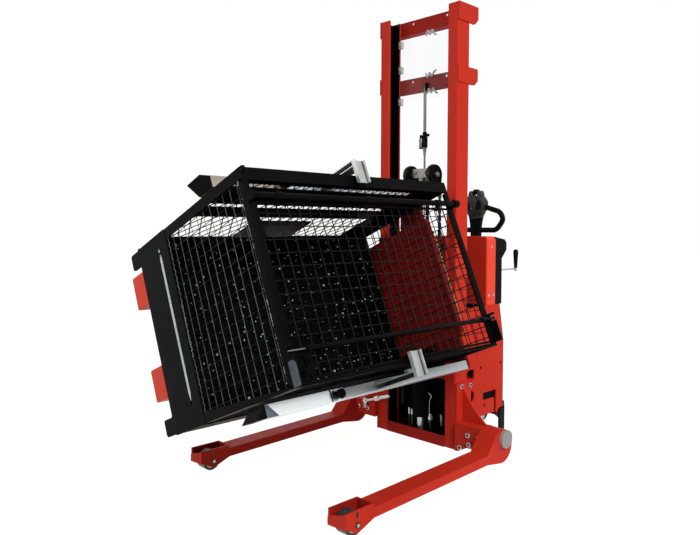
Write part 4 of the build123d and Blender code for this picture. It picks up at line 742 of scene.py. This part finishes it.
sleeveLook = dict(across=(364, 406), along=(-1112, -790), up=(148, 234), wall=2.6,
    plug=(-1112.3, -1113.2, -1152.5), plugUp=(148.2, 233.8), plugInset=4,
    plugRoot=(-1080, (152, 230)), end=(-1068, -1104), endUp=(234.05, 234.5), strap=3.6,
    strapPath=((0, -849), (14, -847), (42, -845)), strapUp=234.6, left=("sleeveAlloy", "blueZinc"),
    # the right sleeve takes the darker, tan copy: painted shade with a painted warm reflection
    right=("tanAlloy", "tanAlloy"))
wall, along, (b0, b1) = pick(sleeveLook, "wall along up")
for side, hand in hands:
    body, name = f"sleeve_{hand}_body", f"sleeve_{hand}_"
    inner, outer = sideways(side, *sleeveLook["across"])
    tubeFinish, endFinish = sleeveLook[hand]
    for b in (b0, b1 - wall):
        addBox((inner, outer), along, (b, b + wall))
    for a in (inner, outer - side * wall):
        addBox((a, a + side * wall), along, (b0 + wall, b1 - wall))
    makePiece(name + "tube", body, tubeFinish, [f"fork_sleeve_{hand}"], bevel=0.8)
    back, heel, tip = sleeveLook["plug"]
    addPrism([(inner, back), (outer, back), (outer, tip), (inner, heel)], 2, sleeveLook["plugUp"])
    root, up = sleeveLook["plugRoot"]
    inset = side * sleeveLook["plugInset"]
    addBox((inner + inset, outer - inset), (along[0], root), up)
    makePiece(name + "plug", body, "blackPlastic", bevel=1.2)
    # a thin patch on the top at the front end: painted shade of the sloped end
    far, near = sleeveLook["end"]
    addPrism([(inner, along[0]), (outer, along[0]), (outer, far), (inner, near)], 2,
             sleeveLook["endUp"])
    makePiece(name + "end", body, endFinish)
    path = [(inner + side * a, y, sleeveLook["strapUp"]) for a, y in sleeveLook["strapPath"]]
    addBand(path, alongZ, sleeveLook["strap"], 1.0)
    makePiece(name + "strap", body, "blackPlastic")

# clamping knobs with ten soft lobes

knobLook = dict(at=(385, -817), radius=17.5, lobes=10, steps=60, waist=0.93, lobe=0.06,
    rings=((244.4, 0.82), (246.5, 0.97), (249, 1.0), (256, 1.0), (259, 0.94), (260.2, 0.8)),
    neck=[(234.4, 9), (244.5, 9)], cap=[(260, 8), (261.2, 7)])
turns = [2 * math.pi * k / knobLook["steps"] for k in range(knobLook["steps"])]
for side, hand in hands:
    x, y = side * knobLook["at"][0], knobLook["at"][1]
    sections = []
    for rise, scale in knobLook["rings"]:
        ring = []
        for turn in turns:
            bulge = knobLook["waist"] + knobLook["lobe"] * math.cos(knobLook["lobes"] * turn)
            r = knobLook["radius"] * scale * bulge
            ring.append((x + r * math.cos(turn), y + r * math.sin(turn), rise))
        sections.append(ring)
    addLoft(sections)
    for profile in (knobLook["neck"], knobLook["cap"]):
        addStem(profile, (x, y), 24)
    makePiece(f"knob_{hand}_grip", f"knob_{hand}_body", "blackPlastic", [f"star_knob_{hand}"])
print("stage: cage pieces drawn")

# leaf chains: up the front, over the sheaves and down the rear, with every second plate offset

chainLook = dict(link=17.0, plates=5, plate=2.6, platePitch=3.1, radius=43.2, front=560, rear=700,
    shortest=3, overlap=3.4, pin=[(-8, 2.4), (8, 2.4)])
link, plates, radius = pick(chainLook, "link plates radius")
route = []
for k in range(int((axleHeight - chainLook["front"]) / link) + 1):
    route.append((liftAxis - radius, chainLook["front"] + k * link))
turns = int(math.pi * radius / link)
route += arc((liftAxis, axleHeight), radius, 180, -180, turns)[1:-1]
for k in range(int((axleHeight - chainLook["rear"]) / link) + 1):
    route.append((liftAxis + radius, axleHeight - k * link))
half = link / 2 + chainLook["overlap"]
plate = [(half, 1.8), (half - 2.2, 4.2), (half - 6, 4.4), (0, 3.4), (6 - half, 4.4),
         (2.2 - half, 4.2), (-half, 1.8)]
plate += [(-u, -w) for u, w in plate]
for side in (-1, 1):
    for i, ((ya, za), (yb, zb)) in enumerate(zip(route, route[1:])):
        way = Vector((0, yb - ya, zb - za))
        if way.length < chainLook["shortest"]:
            continue
        way.normalize()
        aside = Vector((0, -way.z, way.y))
        for k in range(i % 2, plates, 2):
            x = side * chainSpread + (k - (plates - 1) / 2) * chainLook["platePitch"]
            sections = []
            for face in (-chainLook["plate"] / 2, chainLook["plate"] / 2):
                middle = Vector((x + face, (ya + yb) / 2, (za + zb) / 2))
                sections.append([middle + way * u + aside * w for u, w in plate])
            addLoft(sections)
        addRod(chainLook["pin"], (side * chainSpread, ya, za), alongX, 8)
makePiece("leafChains", "crosshead_unit", "oiledSteelAndShade", ["lift_chains"])

# crosshead block with its socket, axle and bolts

crossheadLook = dict(half=48, depth=15, up=(1238, 1280), axle=12, reach=94, bolt=(28, 1262))
half, depth, axle = pick(crossheadLook, "half depth axle")
z0, z1 = crossheadLook["up"]
addPrism([(-half, z0 + 8), (-half + 8, z0), (half - 8, z0), (half, z0 + 8), (half, z1 - 6),
          (half - 6, z1), (6 - half, z1), (-half, z1 - 6)], 1, (liftAxis - depth, liftAxis + depth))
addStem([(1217, 21), (1230, 19), (z0 + 0.5, 17)], (0, liftAxis), 32)
x, z = crossheadLook["bolt"]
for side in (-1, 1):
    addRod([(half - 1, axle), (91, axle), (crossheadLook["reach"], 9)], (0, liftAxis, axleHeight),
           (side, 0, 0), 24)
    for face in (-1, 1):
        addBolt((side * x, liftAxis + face * depth, z), (0, face, 0), 11, 5)
makePiece("crossheadBlock", "crosshead_unit", "dullSteel", ["crosshead"], bevel=0.8)

# hanging height sensor: rod and switch, then the housing with its collar, knob and clamp

sensorLook = dict(at=(-15, 74), rodRadius=7.0, switchShift=(-21, -1))
x, y = sensorLook["at"]
switch = (x + sensorLook["switchShift"][0], y + sensorLook["switchShift"][1])
r = sensorLook["rodRadius"]
addTurned([(1438, 0), (1438, r), (1640, r), (1668, 2.4), (1672, 0)], (x, y, 0), alongZ, 24)
addStem([(1285, 4), (1290, 4.6), (1345, 4.6), (1348, 7), (1354, 7), (1356, 6), (1378, 10),
         (1380, 10)], (x, y), 20)
addStem([(1379, 8.6), (1381, 9.4), (1421, 9.4), (1424, 8)], switch, 24)
makePiece("sensorRod", "chassis", "dullSteel", ["height_sensor"])
addLoft([roundedBox(20, 17, 3, z, (x + 2, y)) for z in (1380, 1382, 1428, 1430)])
addStem([(1424, 7), (1436, 7), (1440, 5)], switch, 16)
addStem([(1376, 9.2), (1379.4, 9.2)], switch, 24)
addTurned([(1430, 7.1), (1430, 10.4), (1448, 10.4), (1452, 8.8), (1452, 7.1)], (x, y, 0), alongZ,
          20, closed=True)
addRod([(0, 5), (13, 5), (14, 7), (19, 7), (20, 5)], (x + 6, y - 2, 1436), alongX, 16)
addBox((x - 22, x - 4), (y - 6, y + 5), (1428, 1433))
addLoft([roundedBox(12, 14, 2, z, (x + 8, 76)) for z in (1638, 1640, 1674, 1676)])  # clamp
makePiece("sensorBody", "chassis", "blackPlastic")

# clips of the guard screen: bent wire at the beams, moulded blocks on the uprights

clipLook = dict(wire=4.2, bend=3.5, beams=((15, 1903, -1), (15, 1712, 1), (24, 1638, -1)),
    zigzag=((-31, 77, 10), (-17, 75.5, -13), (-5, 75.5, 12), (8, 75.5, -12), (20, 75.5, 9),
            (31, 77, 16)),
    blocks=(1874, 1756, 1606), blockAt=(166, 76), blockHalf=16, screwFace=67,
    block=((-12, -6), (-9, -9), (9, -9), (12, -6), (12, 4), (-12, 4)))
for x, z, way in clipLook["beams"]:
    path = [(x + dx, y, z + way * dz) for dx, y, dz in clipLook["zigzag"]]
    addTube(roundedPath(path, clipLook["bend"], 3), clipLook["wire"], 8)
makePiece("screenSprings", "chassis", "palePlastic")
x, y = clipLook["blockAt"]
for z in clipLook["blocks"]:
    for side in (-1, 1):
        addPrism([(side * x + dx, y + dy) for dx, dy in clipLook["block"]], 2,
                 (z - clipLook["blockHalf"], z + clipLook["blockHalf"]))
        addBolt((side * x, clipLook["screwFace"], z), (0, -1, 0), 7, 3)
makePiece("screenBlocks", "chassis", "palePlastic", bevel=1.2)

# fittings in the base opening: ports on their pipes, bent pipe, tab, drain hose,
# and the catch on the far bracket

fittingLook = dict(
    pipeFoot=48,
    ports=(  # place, sides, radius and top of the pipe, profile of the port
        ((-69, liftAxis), 16, 4, 136, [(135, 5.2), (162, 5.2), (165, 4)]),
        ((-41, 30), 16, 5, 141, [(140, 6.4), (158, 6.4), (163, 5), (168, 3)]),
        ((60, liftAxis), 6, 7, 133, [(132, 11), (148, 11), (150, 8), (160, 8)])),
    bentPipe=((46, 55, 50), (46, 55, 118), (36, 60, 172), (38, 60, 214), (52, 60, 237),
              (34, 52, 250)),
    bentRadius=2.6, nutAt=(46, 55, 112), tab=((82, 93), (84, 90.8), (96, 152)),
    catch=((-298, -24, 164), (-136, -24, 218)), catchFoot=((-308, -288), (-26, -14.6), (128, 168)),
    catchProfile=[(-13, 0), (-11, 7), (-6, 11.5), (0, 13), (6, 11.5), (11, 7), (13, 5.5), (68, 4.8),
                  (68, 9), (72, 12), (100, 12), (104, 9), (104, 8.5), (160, 8.5), (172, 6),
                  (175, 0)],
    hoseAt=(-149, 83.5, 0), hose=[(158, 0), (160, 6), (166, 9.5), (316, 9.5), (318, 9), (318, 0)])
for at, sides, r, top, port in fittingLook["ports"]:
    addStem(port, at, sides)
addTube(roundedPath(fittingLook["bentPipe"], 22, 6), fittingLook["bentRadius"], 10)
addBox(*fittingLook["tab"])
ball, end = (Vector(p) for p in fittingLook["catch"])
addTurned(fittingLook["catchProfile"], ball, end - ball, 20)
addBox(*fittingLook["catchFoot"])
makePiece("baseFittings", "chassis", "brightSteel")
for at, sides, r, top, port in fittingLook["ports"]:
    addStem([(fittingLook["pipeFoot"], r), (top, r)], at, sides)
addRod([(0, 8), (10, 8), (12, 6)], fittingLook["nutAt"], alongZ, 6)
makePiece("basePipes", "chassis", "oiledSteelAndShade")
addTurned(fittingLook["hose"], fittingLook["hoseAt"], alongZ, 20)
makePiece("drainHose", "chassis", "driveTyre")
print("stage: lift and base fittings drawn")

# chain sheaves with turned grooves

sheaveLook = dict(bore=12.1, groove=37.8, rim=45.0, width=13.0)
w, edge, groove, bore = pick(sheaveLook, "width rim groove bore")
halfProfile = [(8.8, groove), (9.6, edge), (w - 1.5, edge), (w, edge - 2), (w, 36), (w - 1.5, 34),
               (w - 1.5, 22), (w, 20), (w, bore)]
for side in (-1, 1):
    addTurned(bothWays(halfProfile), (side * chainSpread, liftAxis, axleHeight), alongX, 40,
              closed=True)
makePiece("grooveSheaves", "sheaves_body", "blackPaint", ["sheaves"])

# tiller: pivot eye, widening column, loop handle, head with pads and cheeks, thumb roller

tillerLook = dict(
    pivot=(462, 400), eye=22, pin=10.1,
    # height, width, depth and corner of each section
    column=((412, 39, 34, 5), (436, 40, 36, 6), (900, 46, 36, 8), (1000, 52, 36, 9),
            (1040, 62, 38, 10), (1062, 70, 40, 10)),
    head=((1056, 66, 39, 10), (1070, 76, 44, 13), (1085, 92, 52, 18), (1104, 114, 58, 20),
          (1120, 121, 60, 20), (1137, 122, 61, 20), (1150, 112, 60, 20), (1162, 92, 58, 18),
          (1171, 74, 56, 16)),
    cheek=((1166, 20, 50, 7), (1180, 20, 46, 7), (1192, 17, 38, 7), (1196, 12, 30, 7)), cheekAt=26,
    pad=((16, 1098), (34, 1100), (46, 1110), (50, 1124), (44, 1142), (30, 1150), (22, 1136)),
    padFace=(27.0, 30.8),
    loop=((8, 1000), (122, 1000), (163, 1052), (142, 1090), (40, 1119)), loopRadius=13.0, bend=44,
    roller=((-15, 10), (-13.6, 12.4), (-12, 13), (12, 13), (13.6, 12.4), (15, 10)),
    rollerHeight=1191, ribs=96, rib=0.8)
y0, z0 = tillerLook["pivot"]
eye, pin = tillerLook["eye"], tillerLook["pin"]
addTurned([(-20, pin), (-20, 20), (-18, eye), (18, eye), (20, 20), (20, pin)], (0, y0, z0), alongX,
          32, closed=True)
addLoft([roundedBox(w, d, c, z, (0, y0)) for z, w, d, c in tillerLook["column"]])
makePiece("tillerColumn", "tiller", "blackPaint", ["tiller_arm"], sharp=50)
for side in (-1, 1):
    path = [(side * x, y0, z) for x, z in tillerLook["loop"]]
    addTube(roundedPath(path, tillerLook["bend"], 8), tillerLook["loopRadius"], 20)
makePiece("loopHandle", "tiller", "blackPlastic", sharp=60)
addLoft([roundedBox(w, d, c, z, (0, y0), 6) for z, w, d, c in tillerLook["head"]])
for side in (-1, 1):
    at = (side * tillerLook["cheekAt"], y0)
    addLoft([roundedBox(w, d, c, z, at) for z, w, d, c in tillerLook["cheek"]])
makePiece("tillerHead", "tiller", "greyPlastic", ["tiller_head"], sharp=50)
for face in (-1, 1):
    span = [y0 + face * d for d in tillerLook["padFace"]]
    for side in (-1, 1):
        addPrism(mirrored(side, tillerLook["pad"]), 1, span)
makePiece("headPads", "tiller", "blackPlastic", bevel=0.6)
sections = []
for x, r in tillerLook["roller"]:
    ring = []
    for k, (c, s) in enumerate(circle(tillerLook["ribs"])):
        ribbed = r - (tillerLook["rib"] if k % 4 in (0, 1) else 0.0)
        ring.append((x, y0 + ribbed * c, tillerLook["rollerHeight"] + ribbed * s))
    sections.append(ring)
addLoft(sections)
makePiece("thumbRoller", "thumb_body", "blackPlastic", ["thumb_control"])

# tip lever: boss, straight rod with a ball end, tapered grip

leverLook = dict(at=(195, 358.3, 811), reach=165, rod=4.0)
x, y, z = leverLook["at"]
reach, r = leverLook["reach"], leverLook["rod"]
addRod([(0, 11.8), (9, 11.8), (11.5, 9)], (x, y, z), alongY, 24)
addRod([(10, r), (reach, r)], (x, y, z), alongY, 16)
addTurned([(-12, 0), (-11, 3.4), (-7, 6.6), (-1, 7.6), (3, 6.6), (5, 5.4), (5, 0)],
          (x, y + reach, z), alongZ, 24)
makePiece("leverRod", "lever_body", "brightSteel", ["tip_lever"])
addTurned([(4, 0), (4, 7.6), (8, 8.2), (30, 9.4), (62, 11.4), (80, 12.6), (87, 12.2), (92, 9.6),
           (95, 5), (96, 0)], (x, y + reach, z), alongZ, 28)
makePiece("leverGrip", "lever_body", "blackPlastic", sharp=60)

# wheels: a turned tread each, and a hub with its bearing faces

wheelLook = dict(
    drive=dict(at=(0, 410, 110), radius=110, width=60, bore=12.1, tread=82, lip=7,
        finishes=("driveTyre", "blackPaint")),
    castor=dict(at=(165, 230, 62.5), radius=62.5, width=40, bore=8.1, tread=46, lip=5,
        finishes=("driveTyre", "brightSteel")),
    load=dict(at=(426, -821, 41), radius=41, width=58, bore=10.1, tread=30, lip=4,
        finishes=("rollerPlastic", "brightSteel")))
hubInset = 2
for name, kind, side in (("drive_wheel", "drive", 1), ("castor_wheel_left", "castor", 1),
                         ("castor_wheel_right", "castor", -1), ("load_wheel_left", "load", 1),
                         ("load_wheel_right", "load", -1)):
    look = wheelLook[kind]
    radius, width, bore, tread, lip = pick(look, "radius width bore tread lip")
    half, hub = width / 2, width / 2 - hubInset
    treadHalf = [(half - lip, radius), (half, radius - lip), (half, tread)]
    hubHalf = [(hub - 1, tread + 0.3), (hub - 1, tread - 3), (hub - 6, tread - 6),
               (hub - 5, bore + 11), (hub, bore + 9), (hub, bore)]
    for part, outline, sides, coat, replaced in (
            ("_tread", treadHalf, 56, look["finishes"][0], [name]),
            ("_hub", hubHalf, 40, look["finishes"][1], [])):
        at = (side * look["at"][0], *look["at"][1:])
        addTurned(bothWays(outline), at, alongX, sides, closed=True)
        makePiece(name + part, name + "_body", coat, replaced)

# fasteners on the chassis and carriage: socket screws, cover screws and the ends of the load axles

boltLook = dict(bracketSide=((31, 316), (94, 314)), boxFace=-15,
    boxFront={1: ((313, 127), (369, 127), (319, 88), (271, 65)), -1: ((289, 130), (349, 129))},
    coverSide=((269, 924), (286, 701), (250, 701)), panelSide=((192, 375), (349, 377), (223, 197)),
    carriage=(500, 620, 812, 930), carriageAt=(185, -36), axleFaces=((468, 1), (384, -1)),
    socketHead=[(0, 7), (0, 11.6), (1.8, 11.4), (4.6, 10.2), (5.4, 8.6), (5.4, 7)],
    socket=[(0, 7.2), (3.6, 7.2)], domed=[(0, 0), (0, 6), (1.2, 5.4), (2.2, 3.2), (2.4, 0)],
    axleEnd=[(0, 6.4), (2.4, 6.2), (3, 5)],
    axleRing=[(0, 6.5), (0, 10.6), (1.4, 10.4), (1.6, 9.8), (1.6, 6.5)],
    axleTab=((-829, 84), (-823, 88), (-818, 84), (-819, 76), (-822, 67), (-827, 66), (-829, 72)),
    slotted=[(0, 6.5), (1, 6.2), (1.4, 4.2), (0.4, 3.6)])
spots, axles = [], []
for side in (-1, 1):
    spots += [((side * bracketFace, y, z), (side, 0, 0)) for y, z in boltLook["bracketSide"]]
    spots += [((side * x, boltLook["boxFace"], z), (0, -1, 0))
              for x, z in boltLook["boxFront"][side]]
    axles += [((side * x, *wheelLook["load"]["at"][1:]), side * way)
              for x, way in boltLook["axleFaces"]]
    for y, z in boltLook["coverSide"]:
        addTurned(boltLook["domed"], (side * panelFace, y, z), (side, 0, 0), 20)
for at, way in spots:
    addTurned(boltLook["socketHead"], at, way, 20, closed=True)
for at, way in axles:
    addRod(boltLook["axleEnd"], at, (way, 0, 0), 20)
makePiece("paleBolts", "chassis", "brightSteel")
# dark fills in the screw sockets: painted shade in the recesses
for at, way in spots:
    addRod(boltLook["socket"], at, way, 6)
for at, way in axles:
    addTurned(boltLook["axleRing"], at, (way, 0, 0), 24, closed=True)
    addPrism(boltLook["axleTab"], 0, (at[0] - way * 0.5, at[0] + way * 0.4))
makePiece("boltSockets", "chassis", "oiledSteelAndShade")
for side in (-1, 1):
    for y, z in boltLook["panelSide"]:
        addRod(boltLook["slotted"], (side * panelFace, y, z), (side, 0, 0), 20)
makePiece("darkScrews", "chassis", "blackPaint")
x, y = boltLook["carriageAt"]
for side in (-1, 1):
    for z in boltLook["carriage"]:
        addBolt((side * x, y, z), (0, -1, 0), 13, 7)
makePiece("carriageBolts", "carriage", "oiledSteelAndShade")

# rear trim: cooling slats, screws and a pull handle

rearLook = dict(slats=7, firstSlat=700, slatPitch=18, slatHalf=120, screws=(200, (372, 620)),
    screw=[(0, 0), (0, 7), (2, 6.2), (3, 3.6), (3.2, 0)], face=335,
    handle=((-70, 335, 560), (-70, 352, 560), (70, 352, 560), (70, 335, 560)), handleRadius=5.5)
for k in range(rearLook["slats"]):
    z = rearLook["firstSlat"] + rearLook["slatPitch"] * k
    addPrism([(357, z), (361.5, z + 3), (361.5, z + 6), (357, z + 10)], 0,
             (-rearLook["slatHalf"], rearLook["slatHalf"]))
x, heights = rearLook["screws"]
for side in (-1, 1):
    for z in heights:
        addTurned(rearLook["screw"], (side * x, rearLook["face"], z), alongY, 20)
addTube(roundedPath(rearLook["handle"], 12, 5), rearLook["handleRadius"], 12)
makePiece("rearTrim", "chassis", "blackPlastic")

# leg brackets: side plate, box under the leg boss, gusset with a hollow edge; one box is notched
# below, the other is cut short above the base beam

bracketLook = dict(plate=((panelFace, bracketFace), (0, 104), (40, 330)), cut=14, box=(-15, 69),
    boxTop=166, boxReach=384, gusset=(41, 51), gussetTop=316, gussetRun=(128, 150), hollow=11,
    lower={1: ((241, 44), (262, 47), (272, 52), (284, 62), (304, 69), (326, 71), (384, 71)),
           -1: ((241, 95), (384, 95))})
across, (y0, y1), (z0, z1) = bracketLook["plate"]
cut, top = bracketLook["cut"], bracketLook["boxTop"]
run, fall = bracketLook["gussetRun"]
gusset = [(bracketFace, top)]
for t in [k / 8 for k in range(9)]:
    sag = bracketLook["hollow"] * math.sin(math.pi * t)
    height = bracketLook["gussetTop"] - fall * t - sag * 0.65
    gusset.append((bracketFace + run * t - sag * 0.76, height))
plate = [(y0, z0), (y1, z0), (y1, z1 - cut), (y1 - cut, z1), (y0, z1)]
for side in (-1, 1):
    addPrism(plate, 0, sideways(side, *across))
    box = [*bracketLook["lower"][side], (bracketLook["boxReach"], top), (bracketFace, top)]
    addPrism(mirrored(side, box), 1, bracketLook["box"])
    addPrism(mirrored(side, gusset), 1, bracketLook["gusset"])
makePiece("legBrackets", "chassis", "redPaint", ["leg_brackets"], bevel=1.4)

# chassis trim: nose plates of the legs and red filler beside the mast, then black wings,
# guards and skirt corners

trimLook = dict(nose=((384, 36), (468, 40), (468, 91), (384, 66)), noseAlong=(-880, -877),
    noseShift=-852, filler=((219, 226), (83, 165), (412, 655)),
    wing=((229, 372.3), (224, 372.3), (200, 408), (204, 411)), wingUp=(160, 470, 655), wingLean=37,
    guard=((209, 212), (200, 334), (160, 318)), skirtCorner=((223, 229), (346, 390), (34, 165)))
for shift in (0, trimLook["noseShift"]):
    addPrism([(x + shift, z) for x, z in trimLook["nose"]], 1, trimLook["noseAlong"])
addPair(*trimLook["filler"])
makePiece("redTrim", "chassis", "redPaint", bevel=1.0)
low, bend, high = trimLook["wingUp"]
for side in (-1, 1):
    wing = mirrored(side, trimLook["wing"])
    addPrism(wing, 2, (low, bend))
    leant = [(x, y - trimLook["wingLean"], high) for x, y in wing]
    addLoft([[(x, y, bend) for x, y in wing], leant])
addPair(*trimLook["guard"])
addPair(*trimLook["skirtCorner"])
makePiece("cornerWings", "chassis", "blackPlastic", bevel=0.8)
print("stage: controls, wheels and fasteners drawn")

# floor, light and camera

stageLook = dict(floorHalf=30, floorDrop=0.0005, floorTone=0.82, floorRough=0.9, shadowShare=0.22,
    glowLevel=1.25, worldLevel=0.36)
half, drop, tone = pick(stageLook, "floorHalf floorDrop floorTone")
floorMesh = bpy.data.meshes.new("floor")
corners = [(x * half, y * half, -drop) for x, y in ((-1, -1), (1, -1), (1, 1), (-1, 1))]
floorMesh.from_pydata(corners, [], [(0, 1, 2, 3)])
floor = bpy.data.objects.new("floor", floorMesh)
scene.collection.objects.link(floor)


def seenDirectly(tree):  # 1 for what the camera sees itself, in a mirror or through the clear sheet
    rays = addNode(tree, "LightPath", {}, {}).outputs
    seen = rays["Is Camera Ray"]
    for kind in ("Is Glossy Ray", "Is Transmission Ray"):
        seen = addNode(tree, "Math", {}, {0: seen, 1: rays[kind]}, operation="MAXIMUM").outputs[0]
    return seen


paleFloor = bpy.data.materials.new("paleFloor")
paleFloor.use_nodes = True
tree = paleFloor.node_tree
floorShader = tree.nodes["Principled BSDF"]
floorShader.inputs["Base Color"].default_value = (tone, tone, tone, 1)
floorShader.inputs["Roughness"].default_value = stageLook["floorRough"]
floorShader.inputs["Specular IOR Level"].default_value = 0.0
glow = addNode(tree, "Emission", {"Strength": stageLook["glowLevel"]}, {})
share = addNode(tree, "Math", {1: 1 - stageLook["shadowShare"]}, {0: seenDirectly(tree)},
                operation="MULTIPLY")
mixFloor = addNode(tree, "MixShader", {},
                   {0: share.outputs[0], 1: floorShader.outputs[0], 2: glow.outputs[0]})
tree.links.new(mixFloor.outputs[0], tree.nodes["Material Output"].inputs[0])
floorMesh.materials.append(paleFloor)

world = bpy.data.worlds.new("studio")
scene.world = world
world.use_nodes = True
tree = world.node_tree
level = addNode(tree, "MapRange", {"To Min": stageLook["worldLevel"], "To Max": 1.0},
                {"Value": seenDirectly(tree)})
tree.nodes["Background"].inputs["Color"].default_value = (1, 1, 1, 1)
tree.links.new(level.outputs["Result"], tree.nodes["Background"].inputs["Strength"])

lampLook = dict(
    keyLamp=dict(at=(4.9, -1.8, 4.3), aim=(0.1, -0.2, 0.95), size=1.8, power=19, spread=40),
    fillLamp=dict(at=(-2.5, -4.6, 2.4), aim=(0.0, -0.4, 1.2), size=3.0, power=8.0, spread=60))
for name, look in lampLook.items():
    lamp = bpy.data.lights.new(name, "AREA")
    lamp.energy, lamp.size, lamp.spread = look["power"], look["size"], math.radians(look["spread"])
    lampObject = bpy.data.objects.new(name, lamp)
    scene.collection.objects.link(lampObject)
    lampObject.location = look["at"]
    aim = Vector(look["aim"]) - Vector(look["at"])
    lampObject.rotation_euler = aim.to_track_quat("-Z", "Y").to_euler()

cameraLook = dict(at=(2.01591, -2.33857, 1.01341), right=(0.714215, 0.699908, 0.004986),
    up=(-0.029953, 0.023446, 0.999276), ahead=(-0.699285, 0.713848, -0.037710), lens=34.783,
    sensor=36.0, shift=(-0.0326, -0.0217))
cameraData = bpy.data.cameras.new("photoCamera")
cameraData.sensor_fit, cameraData.sensor_width = "HORIZONTAL", cameraLook["sensor"]
cameraData.lens = cameraLook["lens"]
cameraData.shift_x, cameraData.shift_y = cameraLook["shift"]
camera = bpy.data.objects.new("photoCamera", cameraData)
scene.collection.objects.link(camera)
right, up, ahead, at = (Vector(cameraLook[k]) for k in ("right", "up", "ahead", "at"))
camera.matrix_world = Matrix.Translation(at) @ Matrix((right, up, -ahead)).transposed().to_4x4()
scene.camera = camera
scene.view_settings.view_transform = "Standard"
print("stage: floor, light and camera set")
